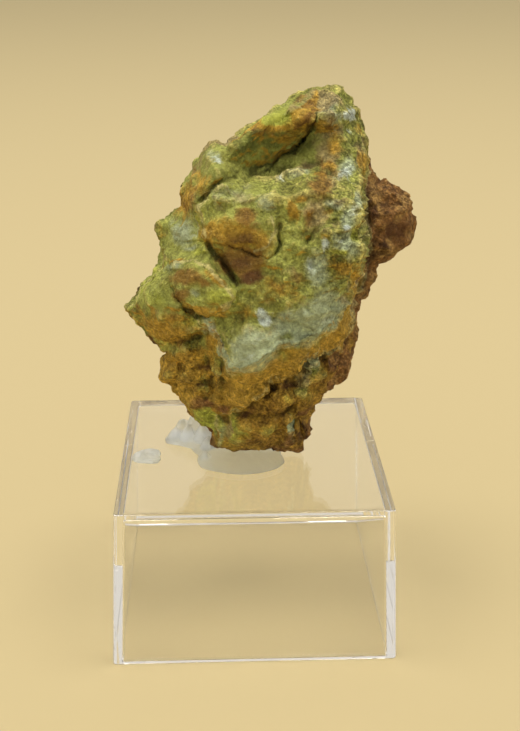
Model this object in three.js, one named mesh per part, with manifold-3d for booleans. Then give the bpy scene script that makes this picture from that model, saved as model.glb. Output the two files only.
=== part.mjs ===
// Ferrosaponite specimen: a lumpy green and ochre stone, glued on a clear moulded box that stands open side down.
// Millimetres, +Z up. The origin is the bottom centre of the whole object's box, on the surface it stands on.
import * as THREE from "three";
import Module from "manifold-3d";

// Driving dimensions of the moulded box
const BOX_TOP_SIDE = 50;
const BOX_HEIGHT = 30.65;
const BOX_DRAFT_DEG = 2.4;
const BOX_WALL = 1.6;
const BOX_OUTER_CORNER = 0.7;
const BOX_INNER_CORNER = 0.5;
const BOX_EDGE = 0.2;
const CORNER_STEPS = 3;

// Driving dimensions of the stone. Its forms are given in a plane that leans back and is turned a little:
// a to the right, b up, c forward. The forms narrow towards the front by c / TAPER_LENGTH.
const STONE_CENTRE = new THREE.Vector3(2.14, 1.0, 67.29);
const FACE_LEAN_DEG = 17.35;
const FACE_TURN_DEG = -2.44;
const TAPER_LENGTH = 212.6;
const STONE_CELLS = 27;
const FIT_GAP = 0.3;
const FOOT_SOFTNESS = 0.4;

// Outline of the stone in a, b, clockwise from the top
const OUTLINE = [
  [4.1, 30.1], [6.0, 32.2], [9.0, 33.6], [12.3, 33.7], [14.6, 33.2], [16.9, 30.0], [18.4, 26.8], [19.2, 22.6],
  [19.5, 19.8], [20.8, 17.6], [21.4, 16.2], [23.6, 15.6], [27.0, 14.0], [27.9, 9.5], [27.0, 4.4], [24.8, 2.6],
  [21.6, 1.3], [20.4, -2.6], [18.4, -5.6], [17.5, -8.4], [17.5, -13.6], [16.5, -18.8], [13.2, -21.2], [9.8, -25.0],
  [7.8, -28.2], [8.7, -31.6], [7.6, -33.4], [5.2, -34.3], [2.2, -33.3], [-1.4, -34.4], [-5.4, -34.0], [-8.2, -32.2],
  [-10.0, -29.9], [-13.4, -27.1], [-15.0, -23.6], [-16.4, -21.4], [-18.4, -20.6], [-18.9, -18.2], [-17.7, -15.4],
  [-20.6, -12.9], [-23.2, -10.0], [-25.4, -7.0], [-24.0, -5.0], [-21.0, -1.0], [-18.7, 2.4], [-18.8, 5.2],
  [-19.5, 8.5], [-16.9, 9.8], [-14.9, 11.8], [-15.0, 15.2], [-12.6, 18.5], [-10.6, 22.2], [-9.0, 23.1],
  [-6.8, 22.9], [-4.6, 25.1], [-1.6, 26.9], [0.4, 28.8], [2.4, 29.8],
];

// Rounded lumps on the front, each a roof-shaped dome
const BOULDERS = [
  { name: "shoulder", at: [-8.9, 18.7], top: 12.0, half: [4.7, 4.9], turn: 30, slopes: [0.2, 0.5, 0.3], foot: 5.0, square: 3.4 },
  { name: "sill", at: [-14.6, 12.0], top: 7.2, half: [1.9, 4.8], turn: -24, slopes: [0.05, 0.1, 0.1], foot: 4.0, square: 2.4 },
  { name: "wedge", at: [-12.0, 3.6], top: 13.4, half: [2.8, 1.5], turn: -10, slopes: [0.1, 0.3, 0.3], foot: 2.5, square: 3.0 },
  { name: "stub", at: [1.6, 1.2], top: 13.4, half: [1.7, 2.2], turn: -20, slopes: [0.1, 0.3, 0.3], foot: 2.4, square: 3.0 },
  { name: "thumb", at: [5.7, 10.8], top: 15.0, half: [1.3, 1.7], turn: 10, slopes: [0.2, 0.5, 0.4], foot: 3.0, square: 3.0 },
  { name: "cushion", at: [4.4, 15.4], top: 12.9, half: [4.8, 2.7], turn: 10, slopes: [0.1, 0.5, 0.2], foot: 3.5, square: 3.4 },
  { name: "corner", at: [12.6, -8.6], top: 16.4, half: [5.2, 4.6], turn: 25, slopes: [-0.1, 0.05, 0.1], foot: 3.0, square: 3.0 },
  { name: "apron", at: [-1.5, -14.6], top: 16.6, half: [6.5, 5.2], turn: 35, slopes: [0.05, 0.06, 0.1], foot: 3.0, square: 3.0 },
  { name: "apex", at: [11.6, 28.6], top: 7.6, half: [5.8, 5.0], turn: 40, slopes: [0.05, 0.3, 0.02], foot: 4.0, square: 2.4 },
  { name: "flank", at: [16.2, 4.5], top: 12.4, half: [3.4, 6.5], turn: 8, slopes: [-0.45, 0.02, 0.05], foot: 3.0, square: 2.4 },
];

// Lumps and ribs that stand on the layers under the ledges, in the same form
const LOW_BOULDERS = [
  { name: "brown block", at: [3.4, -23.8], top: 7.8, half: [3.0, 2.5], turn: 55, slopes: [0.15, 0.25, 0.35], foot: 3.0, square: 3.4 },
  { name: "crinkled lump", at: [9.5, -18.9], top: 8.8, half: [2.3, 3.3], turn: -28, slopes: [0.05, 0.2, 0.2], foot: 3.0, square: 2.6 },
  { name: "right shelf", at: [9.0, -22.9], top: 6.2, half: [2.8, 1.9], turn: 35, slopes: [0.1, 0.2, 0.5], foot: 2.6, square: 2.6 },
  { name: "red chunk", at: [14.1, -17.1], top: 8.4, half: [2.3, 1.9], turn: 0, slopes: [-0.1, 0.1, 0.2], foot: 2.6, square: 3.6 },
  { name: "foot", at: [-1.4, -30.0], top: 7.6, half: [5.2, 3.6], turn: 5, slopes: [0.05, 0.35, 0.3], foot: 3.4, square: 2.8 },
  { name: "foot rib", at: [5.2, -30.6], top: 7.4, half: [1.2, 3.4], turn: 12, slopes: [0.1, 0.3, 0.2], foot: 2.6, square: 2.4 },
  { name: "dark knob", at: [7.5, -30.4], top: 6.2, half: [1.6, 2.6], turn: 0, slopes: [0.1, 0.2, 0.2], foot: 2.4, square: 3.2 },
  { name: "left knob", at: [-17.0, -19.0], top: 6.6, half: [2.1, 2.1], turn: 20, slopes: [0.1, 0.3, 0.2], foot: 3.0, square: 2.6 },
  { name: "left lump", at: [-13.7, -20.4], top: 8.0, half: [2.2, 2.2], turn: 30, slopes: [0.1, 0.3, 0.35], foot: 3.0, square: 2.6 },
  { name: "yellow lump", at: [-11.6, -22.9], top: 8.8, half: [1.9, 1.4], turn: 20, slopes: [0.1, 0.3, 0.4], foot: 2.6, square: 2.4 },
  { name: "rust knob", at: [-9.7, -25.4], top: 8.8, half: [2.6, 1.6], turn: 12, slopes: [0.1, 0.3, 0.6], foot: 2.6, square: 2.6 },
  { name: "rib", at: [-8.3, -19.9], top: 10.4, half: [0.9, 3.4], turn: 6, slopes: [0.1, 0.05, 0.05], foot: 3.0, square: 2.2 },
  { name: "left brow", at: [-14.6, -15.4], top: 9.2, half: [3.0, 1.6], turn: -10, slopes: [0.1, 0.2, 0.6], foot: 3.0, square: 2.6 },
];

// Broken blocks, each the lowest of some tilted planes: place a, place b, height there, slope along a, slope along b
const BLOCKS = [
  {
    name: "knuckle",
    planes: [
      [-4.5, 9.3, 19.0, 0, -0.68], [-4.5, 9.3, 19.0, 0.04, 0.5], [-8.8, 8.0, 18.2, 1.3, 0.15],
      [-12.4, 11.0, 13.6, 2.05, -1.91], [-3.0, 17.4, 13.5, 0.3, -2.2], [2.3, 6.5, 17.2, -1.9, 0.9],
      [-4.5, 4.0, 16.5, 1.3, 3.78],
    ],
  },
  {
    name: "tongue",
    planes: [
      [-4.0, 1.0, 13.2, -0.1, 0.35], [-6.8, 0.8, 13.0, 1.6, 1.3], [-3.0, -1.2, 12.2, -0.2, 0.9],
      [1.4, 2.0, 13.0, -1.2, 0.3],
    ],
  },
  {
    name: "cheek",
    planes: [
      [-13.0, 0.2, 17.0, 0.03, -0.75], [-7.2, -1.0, 15.6, -1.6, -1.7], [-11.0, -2.5, 18.0, 0, 0.28],
      [-15.5, -3.0, 16.4, 0.9, 0.3], [-14.8, -6.2, 15.4, 2.2, 1.85], [-10.5, -8.6, 15.6, 0.1, 3.0],
      [-6.3, -6.6, 14.8, -1.9, 1.85], [-17.6, 0.5, 13.6, 2.0, 0.2], [-13.0, 2.5, 15.2, 0.2, -3.0],
    ],
  },
  {
    name: "tip",
    planes: [
      [-18.5, -6.0, 13.8, 0.12, 0.1], [-21.5, -3.8, 12.8, 1.1, -1.1], [-17.0, -9.0, 13.5, 0.1, 0.75],
      [-23.5, -7.0, 10.4, 1.6, 0.2],
    ],
  },
  {
    name: "fist",
    planes: [
      [8.0, 10.0, 16.3, 0.9, 0.1], [8.6, 10.0, 16.3, -0.55, -0.1], [8.0, 12.4, 15.5, 0.1, -1.8],
      [8.2, 6.2, 14.6, 0.3, 1.6], [6.7, 9.5, 14.2, 2.4, 0.3], [10.9, 10.0, 14.2, -2.2, -0.5],
    ],
  },
  {
    name: "brow",
    planes: [
      [11.0, 17.0, 13.4, 0, -1.2], [11.0, 16.6, 13.6, -0.1, 0.3], [8.6, 15.0, 12.8, 1.8, 0.6],
      [9.6, 13.4, 12.9, 1.0, 2.2], [13.0, 15.0, 12.6, -0.9, 0],
    ],
  },
];

// The bowl under the crest, the highest of some tilted planes: its floor, the walls under the crest, the left and
// lower walls, and the long slope right of the crack
const BOWL = [
  [1.5, 22.0, 1.6, 0.05, -0.6], [1.0, 26.0, 8.0, 0, 2.4], [-5.2, 24.2, 7.5, -1.6, 1.7], [8.3, 28.3, 7.5, -1.2, 1.4],
  [-3.4, 19.0, 8.5, -2.2, -1.0], [-1.0, 17.4, 8.0, 0.4, -2.4], [6.5, 22.0, 5.2, 0.55, -0.35],
];

// Hollows in the front: place, half sizes, depth
const HOLLOWS = [
  { name: "left valley", at: [-15.4, 7.0], half: [3.8, 4.0], depth: 3.6 },
  { name: "round the knuckle", at: [0.0, 7.0], half: [10.0, 8.5], depth: 3.4 },
  { name: "right of the cheek", at: [-3.3, -1.2], half: [5.0, 5.0], depth: 3.0 },
];

// Small knobs and pits: a, b, radius, height (negative for a pit)
const KNOBS = [
  [-13.6, -24.0, 1.8, 1.4], [4.4, -28.4, 1.4, 0.8], [-3.6, -28.6, 1.8, 0.8], [-11.1, -17.9, 1.5, -3.0],
  [-1.6, -31.8, 1.2, -1.8], [-13.0, -14.8, 2.0, -1.6], [2.0, -25.0, 1.4, 0.6], [15.4, -1.6, 1.6, 0.9],
  [14.0, 21.0, 2.0, 0.7], [5.5, -1.5, 2.0, 0.6], [1.6, -21.6, 1.4, -1.2], [4.4, -8.4, 1.5, 0.5],
  [-12.4, -4.4, 2.0, -0.7], [-8.4, -5.0, 2.2, 0.5], [-2.6, 10.0, 1.8, -0.5],
];

// Lines across the stone: right edge of the green body as b to a, the others as a to b
const RIGHT_EDGE = [
  [-30, 9.5], [-24, 10.5], [-20, 13.0], [-16, 14.6], [-13, 16.2], [-8, 16.6], [-5, 17.6], [-1, 19.0], [4, 20.2],
  [10, 19.6], [24, 19.2], [28, 22],
];
const CREST = [
  [-6.5, 23.3], [-3.8, 26.0], [-1.0, 27.1], [0.9, 26.3], [4.6, 26.7], [6.4, 27.4], [8.3, 29.1], [10.6, 31.1],
];
const UPPER_LEDGE = [
  [-12.5, -9.0], [-10.0, -11.2], [-8.7, -12.8], [-7.4, -16.2], [-6.2, -19.2], [-4.8, -19.7], [-3, -18.9],
  [-1.2, -18.0], [0.7, -16.7], [3, -14.6], [6.7, -14.3], [10.4, -12.6], [13.3, -11.3], [15.0, -8.6], [17.0, -5.0],
];
const LOWER_LEDGE = [
  [-9, -27.8], [-6.7, -26.9], [-3, -25.2], [0, -23], [2.2, -20.2], [5.9, -19.3], [7.8, -17.4], [10.4, -15.9],
  [14.1, -14.8], [15.9, -12.2], [18, -9],
];

// Cracks: half width, depth, points
const CRACKS = [
  { half: 0.9, depth: 2.0, line: [[-1.3, 17.1], [1.2, 18.5], [3.0, 21.4], [5.8, 22.3], [8.3, 25.4], [10.6, 29.5]] },
  { half: 0.9, depth: 2.2, line: [[-10.2, 5.2], [-7.8, 2.2], [-5.8, -1.4], [-4.6, -2.8]] },
  { half: 0.9, depth: 1.0, line: [[-17.2, -2.4], [-14.6, -7.5], [-12.6, -8.8], [-8.5, -8.0]] },
  { half: 0.9, depth: 1.2, line: [[-16.6, -12.4], [-14.4, -13.5], [-11, -11]] },
];

// Facets of the red-brown lump behind the right edge, as planes
const RED_FACETS = [
  [24.0, 14.0, 2.9, -0.2, -0.75], [22.5, 9.0, 4.0, 0.25, -0.1], [26.0, 8.0, 2.8, -0.9, 0.15],
  [24.5, 4.0, 3.0, -0.25, 0.8],
];
const RED_LIMIT = 1.5;
const RED_LOW = -1.0;

// Back of the stone: angular blocks on a jittered grid
const BACK_DEPTH = 16.5;
const BACK_GRID = 9;
const BACK_ROWS = 4;

// Glue on the top plate, seen from above: outline round its centre, and domes as x, y, radius, height
const GLUE_CENTRE = [-5, 2];
const GLUE_OUTLINE = [
  [-9.6, -7.3], [-6, -9.3], [-2, -10.3], [2, -9.6], [5, -7.8], [6.3, -5.6], [5.8, -2], [5.2, 2], [3.5, 5.5],
  [-1, 7.8], [-7, 9.0], [-11, 9.4], [-15.0, 9.0], [-17.0, 6.0], [-16.6, 3.4], [-14, 2.4], [-11.6, 1.0], [-10.2, -2],
];
const GLUE_DOMES = [
  [-15.0, 5.2, 1.9, 2.8], [-13.4, 7.4, 2.0, 3.8], [-12.4, 4.6, 2.0, 3.6], [-10.6, 6.6, 2.4, 4.6], [-9.6, 3.6, 2.0, 4.0],
  [-7.8, 5.0, 2.6, 5.4], [-7.6, 0.4, 2.0, 2.4],
];
const GLUE_THICKNESS = 1.1;
const GLUE_SPOKES = 40;
const GLUE_RINGS = 8;
const DAB_OUTLINE = [
  [-22.6, -4.3], [-20.4, -5.1], [-18.0, -5.0], [-17.8, -2.2], [-18.1, 0.6], [-20.2, 1.1], [-21.8, 0.2], [-23.0, -1.8],
];
const DAB_THICKNESS = 0.5;
const DAB_EDGE = 0.3;

const clamp = THREE.MathUtils.clamp;
const above = (x) => Math.max(x, 0);
const square = (x) => x * x;
const step = (x, low, high) => THREE.MathUtils.smoothstep(x, low, high);

function smoothMax(x, y, width) {
  const share = clamp(0.5 + (0.5 * (x - y)) / width, 0, 1);
  return y + (x - y) * share + width * share * (1 - share);
}

function smoothMin(x, y, width) {
  return -smoothMax(-x, -y, width);
}

function scatter(i, j, salt) {
  const value = Math.sin(i * 127.1 + j * 311.7 + salt * 74.7) * 43758.5453;
  return value - Math.floor(value);
}

// Smooth value noise between -1 and 1 on a lattice of the given size
function noise(x, y, size, salt) {
  const i = Math.floor(x / size);
  const j = Math.floor(y / size);
  const u = step(x / size - i, 0, 1);
  const v = step(y / size - j, 0, 1);
  const near = THREE.MathUtils.lerp(scatter(i, j, salt), scatter(i + 1, j, salt), u);
  const far = THREE.MathUtils.lerp(scatter(i, j + 1, salt), scatter(i + 1, j + 1, salt), u);
  return 2 * THREE.MathUtils.lerp(near, far, v) - 1;
}

function roughness(x, y, size, salt) {
  return (noise(x, y, size, salt) + 0.55 * noise(x, y, size / 2, salt + 7.3)) / 1.55;
}

// Height of a line of points at x, flat past its ends
function lineAt(x, points) {
  if (x <= points[0][0]) {
    return points[0][1];
  }
  for (let k = 1; k < points.length; k += 1) {
    const [x0, y0] = points[k - 1];
    const [x1, y1] = points[k];
    if (x <= x1) {
      return y0 + ((y1 - y0) * (x - x0)) / (x1 - x0);
    }
  }
  return points[points.length - 1][1];
}

// Distance from a point to a broken line, and how far along the line the nearest place is, 0 to 1
function nearLine(a, b, points) {
  let best = Infinity;
  let along = 0;
  for (let k = 1; k < points.length; k += 1) {
    const [x0, y0] = points[k - 1];
    const dx = points[k][0] - x0;
    const dy = points[k][1] - y0;
    const t = clamp(((a - x0) * dx + (b - y0) * dy) / (dx * dx + dy * dy), 0, 1);
    const distance = Math.hypot(a - x0 - t * dx, b - y0 - t * dy);
    if (distance < best) {
      best = distance;
      along = (k - 1 + t) / (points.length - 1);
    }
  }
  return [best, along];
}

// Radius of an outline in the direction of an angle, straight in angle between its points
function outlineReach(points, centre) {
  const polar = points.map(([x, y]) => [Math.atan2(y - centre[1], x - centre[0]), Math.hypot(x - centre[0], y - centre[1])]);
  polar.sort((p, q) => p[0] - q[0]);
  const first = polar[0];
  const last = polar[polar.length - 1];
  const turn = 2 * Math.PI;
  const ring = [[last[0] - turn, last[1]], ...polar, [first[0] + turn, first[1]]];
  return (angle) => lineAt(angle, ring);
}

function boulderHeight(a, b, { at, top, half, turn, slopes, foot, square: power }) {
  const angle = THREE.MathUtils.degToRad(turn);
  const u = (a - at[0]) * Math.cos(angle) + (b - at[1]) * Math.sin(angle);
  const v = (b - at[1]) * Math.cos(angle) - (a - at[0]) * Math.sin(angle);
  const out = (Math.abs(u / half[0]) ** 2.6 + Math.abs(v / half[1]) ** 2.6) ** (power / 2.6);
  return top + slopes[0] * u - slopes[1] * above(v) - slopes[2] * above(-v) - foot * out;
}

const planeHeight = (a, b, [x, y, height, alongA, alongB]) => height + alongA * (a - x) + alongB * (b - y);

// Lowest or highest of some tilted planes, with their edges rounded over the width
function joinedPlanes(a, b, planes, join, width) {
  return planes.map((plane) => planeHeight(a, b, plane)).reduce((c, height) => join(c, height, width));
}

// Height c of the front surface: a broad dome with hollows, boulders, blocks, a bowl, a crest, two ledges, knobs
// and cracks
function frontHeight(a0, b0) {
  const a = a0 + 0.55 * roughness(a0, b0, 5, 3);
  const b = b0 + 0.55 * roughness(a0, b0, 5, 5);
  let c = 15 - 0.0125 * square(a - 2) - 0.014 * above(b + 8) ** 1.75 - 0.02 * square(above(-b - 22)) - 0.3 * above(-a - 6);
  for (const { at, half, depth } of HOLLOWS) {
    c -= depth * Math.exp(-square((a - at[0]) / half[0]) - square((b - at[1]) / half[1]));
  }
  for (const boulder of BOULDERS) {
    c = smoothMax(c, boulderHeight(a, b, boulder), 0.4);
  }
  for (const { planes } of BLOCKS) {
    c = smoothMax(c, joinedPlanes(a, b, planes, smoothMin, 0.6), 0.3);
  }
  c = smoothMin(c, joinedPlanes(a, b, BOWL, smoothMax, 0.7), 0.4);
  const aboveCrest = b - lineAt(a, CREST);
  const lip = 8.8 - 0.12 * Math.abs(a - 2) - 0.9 * above(aboveCrest) - 3.2 * above(-aboveCrest);
  const alongCrest = step(a, -6.8, -4.8) * (1 - step(a, 9.8, 11.2));
  c -= 1.4 * alongCrest * Math.exp(-square(aboveCrest - 1.6));
  c += (smoothMax(c, lip, 0.3) - c) * alongCrest;
  const onLedges = step(a, -12, -9);
  const underUpper = above(lineAt(a, UPPER_LEDGE) + 0.5 * noise(a0, 0, 1.7, 11) - b);
  const underLower = above(lineAt(a, LOWER_LEDGE) + 0.5 * noise(a0, 0, 2, 12) - b);
  c -= onLedges * (1.6 * step(underUpper, 0, 0.8) + 0.75 * clamp(underUpper, 0, 6.5));
  c -= onLedges * (3 * step(underLower, 0, 1) + 0.2 * clamp(underLower, 0, 6));
  c -= (1 - onLedges) * 3.4 * step(-b - 11.5 + 0.1 * (a + 14), 0, 2);
  for (const boulder of LOW_BOULDERS) {
    c = smoothMax(c, boulderHeight(a, b, boulder), 0.45);
  }
  for (const [x, y, radius, height] of KNOBS) {
    const q = (square(a - x) + square(b - y)) / square(radius);
    c += height * Math.exp(height > 0 ? -q * q : -q);
  }
  for (const { half, depth, line } of CRACKS) {
    const [distance, along] = nearLine(a0, b0, line);
    c -= depth * Math.sqrt(Math.sin(Math.PI * clamp(0.92 * along + 0.04, 0, 1))) * Math.exp(-square(distance / half));
  }
  c += 0.55 * roughness(a0, b0, 6, 31) + 0.32 * roughness(a0, b0, 2.2, 41);
  return THREE.MathUtils.lerp(c, redHeight(a, b), 1 - step(lineAt(b, RIGHT_EDGE) - a, -0.7, 0.7));
}

// Height of the red-brown rock behind the green body: a faceted lump above, a rough low layer below
function redHeight(a, b) {
  const c = smoothMin(joinedPlanes(a, b, RED_FACETS, smoothMin, 0.3), RED_LIMIT, 0.3);
  return Math.max(c, RED_LOW + 0.6 * roughness(a, b, 2.4, 51));
}

// Blocks of the back, one in each cell of the grid, tilted every way
function backBlocks() {
  const blocks = [];
  for (let i = -BACK_ROWS; i <= BACK_ROWS; i += 1) {
    for (let j = -BACK_ROWS; j <= BACK_ROWS; j += 1) {
      const draw = (salt) => scatter(i, j, salt);
      blocks.push({
        at: [BACK_GRID * (i + 0.7 * (draw(1) - 0.5)), BACK_GRID * (j + 0.7 * (draw(2) - 0.5))],
        top: 1 + 2.2 * draw(3),
        half: [5 + 3 * draw(4), 4.5 + 2.5 * draw(5)],
        turn: 180 * draw(6),
        slopes: [0.5 * (draw(7) - 0.5), 0.1 + 0.4 * draw(8), 0.1 + 0.4 * draw(9)],
        foot: 3,
        square: 3,
      });
    }
  }
  return blocks;
}

const BACK_BLOCKS = backBlocks();

function backHeight(a, b) {
  let relief = 0;
  for (const block of BACK_BLOCKS) {
    relief = smoothMax(relief, boulderHeight(a, b, block), 0.4);
  }
  return -(BACK_DEPTH - 0.01 * square(a - 1) - 0.005 * square(b - 2) + relief + 0.4 * roughness(a, b, 2.4, 61));
}

// Height of the rim where front and back meet: further back at the foot and on the right, further forward at the crest
function rimHeight(a, b) {
  return -3 - 6 * step(-b, 20, 32) - 4 * step(a, 12, 20) + 8 * step(b, 18, 24) * (1 - step(a, 0, 5));
}

const stoneReach = outlineReach(OUTLINE, [0, 0]);
const SPREAD_POWER = 1.25;
const EVEN_ANGLES = [-0.18, -0.12, -0.06, 0, 0.06, 0.12, 0.18];

// The outline evened out over the angles near by, for the inner rings of the stone
function evenReach(angle) {
  const turned = EVEN_ANGLES.map((step) => stoneReach(Math.atan2(Math.sin(angle + step), Math.cos(angle + step))));
  return turned.reduce((sum, reach) => sum + reach, 0) / EVEN_ANGLES.length;
}

const leanAngle = THREE.MathUtils.degToRad(FACE_LEAN_DEG);
const turnAngle = THREE.MathUtils.degToRad(FACE_TURN_DEG);
const FORWARD = new THREE.Vector3(
  Math.sin(turnAngle) * Math.cos(leanAngle),
  -Math.cos(turnAngle) * Math.cos(leanAngle),
  Math.sin(leanAngle),
);
const RIGHT = new THREE.Vector3(Math.cos(turnAngle), Math.sin(turnAngle), 0);
const UP = new THREE.Vector3().crossVectors(FORWARD, RIGHT);

// Place in the face plane's a, b, c to place in space, pressed flat where it would pass the foot's level
function place(a, b, c) {
  const scale = 1 - c / TAPER_LENGTH;
  const point = STONE_CENTRE.clone();
  point.addScaledVector(RIGHT, a * scale);
  point.addScaledVector(UP, b * scale);
  point.addScaledVector(FORWARD, c);
  const floor = BOX_HEIGHT + FIT_GAP;
  point.z = floor + FOOT_SOFTNESS * Math.log1p(Math.exp((point.z - floor) / FOOT_SOFTNESS));
  return point;
}

// Point of the stone in one direction: inside the outline by the sine of the angle from straight ahead,
// forward by the front height and back by the back height, both rounded over to the rim
function stonePoint(direction) {
  const angle = Math.atan2(direction.y, direction.x);
  const spread = Math.min(Math.hypot(direction.x, direction.y), 1) ** SPREAD_POWER;
  const reach = THREE.MathUtils.lerp(evenReach(angle), stoneReach(angle), spread ** 6);
  const a = reach * spread * Math.cos(angle);
  const b = reach * spread * Math.sin(angle);
  const rim = rimHeight(reach * Math.cos(angle), reach * Math.sin(angle));
  const lift = (1 - spread ** 4) ** 0.4;
  const surface = direction.z >= 0 ? frontHeight(a, b) : backHeight(a, b);
  const c = rim + lift * (surface - rim);
  const inset = 1 - 0.05 * (0.5 + 0.5 * noise(12 * angle, c, 5, 71)) * Math.min(1, Math.abs(c - rim) / 4);
  return place(a * inset, b * inset, c);
}

// Closed sphere of directions, cut from the six faces of a cube, its shared points merged
function sphereGrid(cells) {
  const sides = [
    [[1, 0, 0], [0, 1, 0], [0, 0, 1]], [[-1, 0, 0], [0, 0, 1], [0, 1, 0]],
    [[0, 1, 0], [0, 0, 1], [1, 0, 0]], [[0, -1, 0], [1, 0, 0], [0, 0, 1]],
    [[0, 0, 1], [1, 0, 0], [0, 1, 0]], [[0, 0, -1], [0, 1, 0], [1, 0, 0]],
  ];
  const directions = [];
  const triangles = [];
  const known = new Map();
  const pointAt = (side, i, j) => {
    const across = Math.tan((Math.PI / 4) * ((2 * i) / cells - 1));
    const along = Math.tan((Math.PI / 4) * ((2 * j) / cells - 1));
    const direction = [0, 1, 2].map((k) => side[0][k] + across * side[1][k] + along * side[2][k]);
    const key = direction.map((x) => Math.round(x * 1e5)).join();
    if (!known.has(key)) {
      known.set(key, directions.length);
      directions.push(new THREE.Vector3(...direction).normalize());
    }
    return known.get(key);
  };
  for (const side of sides) {
    for (let i = 0; i < cells; i += 1) {
      for (let j = 0; j < cells; j += 1) {
        const [p, q] = [pointAt(side, i, j), pointAt(side, i + 1, j)];
        const [r, s] = [pointAt(side, i + 1, j + 1), pointAt(side, i, j + 1)];
        triangles.push(p, q, r, p, r, s);
      }
    }
  }
  return { directions, triangles };
}

function geometryFrom(points, triangles) {
  const geometry = new THREE.BufferGeometry().setFromPoints(points);
  geometry.setIndex(triangles);
  geometry.computeVertexNormals();
  return geometry;
}

function stoneGeometry() {
  const { directions, triangles } = sphereGrid(STONE_CELLS);
  return geometryFrom(directions.map(stonePoint), triangles);
}

// Rings of points of equal count, joined one to the next and closed at both ends by a fan
function loft(rings) {
  const count = rings[0].length;
  const points = rings.flat();
  const triangles = [];
  for (let k = 0; k + 1 < rings.length; k += 1) {
    for (let i = 0; i < count; i += 1) {
      const p = k * count + i;
      const q = k * count + ((i + 1) % count);
      triangles.push(p, q, q + count, p, q + count, p + count);
    }
  }
  const last = (rings.length - 1) * count;
  const middle = (ring) => ring.reduce((sum, p) => sum.add(p), new THREE.Vector3()).divideScalar(count);
  points.push(middle(rings[0]), middle(rings[rings.length - 1]));
  for (let i = 0; i < count; i += 1) {
    const next = (i + 1) % count;
    triangles.push(points.length - 2, next, i, points.length - 1, last + i, last + next);
  }
  return geometryFrom(points, triangles);
}

// Square ring with rounded corners, counterclockwise from above
function squareRing(half, corner, z) {
  const ring = [];
  for (let quarter = 0; quarter < 4; quarter += 1) {
    for (let k = 0; k <= CORNER_STEPS; k += 1) {
      const angle = (Math.PI / 2) * (quarter + k / CORNER_STEPS);
      const towards = (Math.PI / 2) * (quarter + 0.5);
      const centre = (half - corner) * Math.SQRT2;
      const x = centre * Math.cos(towards) + corner * Math.cos(angle);
      const y = centre * Math.sin(towards) + corner * Math.sin(angle);
      ring.push(new THREE.Vector3(x, y, z));
    }
  }
  return ring;
}

// Box open below: up the inside, over the underside of the plate, then the outside, joined as one skin
function boxGeometry() {
  const draft = Math.tan(THREE.MathUtils.degToRad(BOX_DRAFT_DEG));
  const outer = (z) => BOX_TOP_SIDE / 2 + draft * (BOX_HEIGHT - z);
  const ceiling = BOX_HEIGHT - BOX_WALL;
  return loft([
    squareRing(outer(ceiling) - BOX_WALL, BOX_INNER_CORNER, ceiling),
    squareRing(outer(0) - BOX_WALL, BOX_INNER_CORNER, 0),
    squareRing(outer(0), BOX_OUTER_CORNER, 0),
    squareRing(outer(BOX_HEIGHT - BOX_EDGE), BOX_OUTER_CORNER, BOX_HEIGHT - BOX_EDGE),
    squareRing(outer(BOX_HEIGHT) - BOX_EDGE, BOX_OUTER_CORNER - BOX_EDGE, BOX_HEIGHT),
  ]);
}

// Glue height above the plate: a thin pool with domes, rounded down at its outline
function glueHeight(x, y, spread) {
  let height = GLUE_THICKNESS;
  for (const [dx, dy, radius, top] of GLUE_DOMES) {
    const q = (square(x - dx) + square(y - dy)) / square(radius);
    height = smoothMax(height, top * (1 - q), 0.5);
  }
  return height * Math.sqrt(1 - spread ** 5);
}

function glueGeometry() {
  const reach = outlineReach(GLUE_OUTLINE, GLUE_CENTRE);
  const ringAt = (spread, lifted) =>
    Array.from({ length: GLUE_SPOKES }, (_, k) => {
      const angle = (2 * Math.PI * k) / GLUE_SPOKES - Math.PI;
      const x = GLUE_CENTRE[0] + spread * reach(angle) * Math.cos(angle);
      const y = GLUE_CENTRE[1] + spread * reach(angle) * Math.sin(angle);
      return new THREE.Vector3(x, y, BOX_HEIGHT + (lifted ? glueHeight(x, y, spread) : 0));
    });
  const rings = [ringAt(0.5, false), ringAt(1, false)];
  for (let k = GLUE_RINGS - 1; k > 0; k -= 1) {
    rings.push(ringAt(k / GLUE_RINGS, true));
  }
  return loft(rings);
}

function dabGeometry() {
  const count = DAB_OUTLINE.length;
  const centre = [0, 1].map((k) => DAB_OUTLINE.reduce((sum, p) => sum + p[k], 0) / count);
  const ringAt = (inset, z) =>
    DAB_OUTLINE.map(([x, y]) => {
      const reach = Math.hypot(x - centre[0], y - centre[1]);
      const share = 1 - inset / reach;
      return new THREE.Vector3(centre[0] + (x - centre[0]) * share, centre[1] + (y - centre[1]) * share, BOX_HEIGHT + z);
    });
  return loft([ringAt(0, 0), ringAt(0, DAB_THICKNESS - DAB_EDGE), ringAt(DAB_EDGE, DAB_THICKNESS)]);
}

const wasm = await Module();
wasm.setup();

function solidFrom(geometry) {
  const vertProperties = new Float32Array(geometry.attributes.position.array);
  const triVerts = new Uint32Array(geometry.index.array);
  return new wasm.Manifold(new wasm.Mesh({ numProp: 3, vertProperties, triVerts }));
}

function geometryOf(solid) {
  const mesh = solid.getMesh();
  const geometry = new THREE.BufferGeometry();
  geometry.setAttribute("position", new THREE.BufferAttribute(mesh.vertProperties, 3));
  geometry.setIndex(new THREE.BufferAttribute(mesh.triVerts, 1));
  geometry.computeVertexNormals();
  return geometry;
}

// The stone with its skin moved out by the fit gap, to hollow the glue round its foot
function grownStone(geometry) {
  const grown = geometry.clone();
  const { position, normal } = grown.attributes;
  for (let k = 0; k < position.count; k += 1) {
    const point = new THREE.Vector3().fromBufferAttribute(position, k);
    point.addScaledVector(new THREE.Vector3().fromBufferAttribute(normal, k), FIT_GAP);
    position.setXYZ(k, point.x, point.y, point.z);
  }
  return solidFrom(grown);
}

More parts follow.
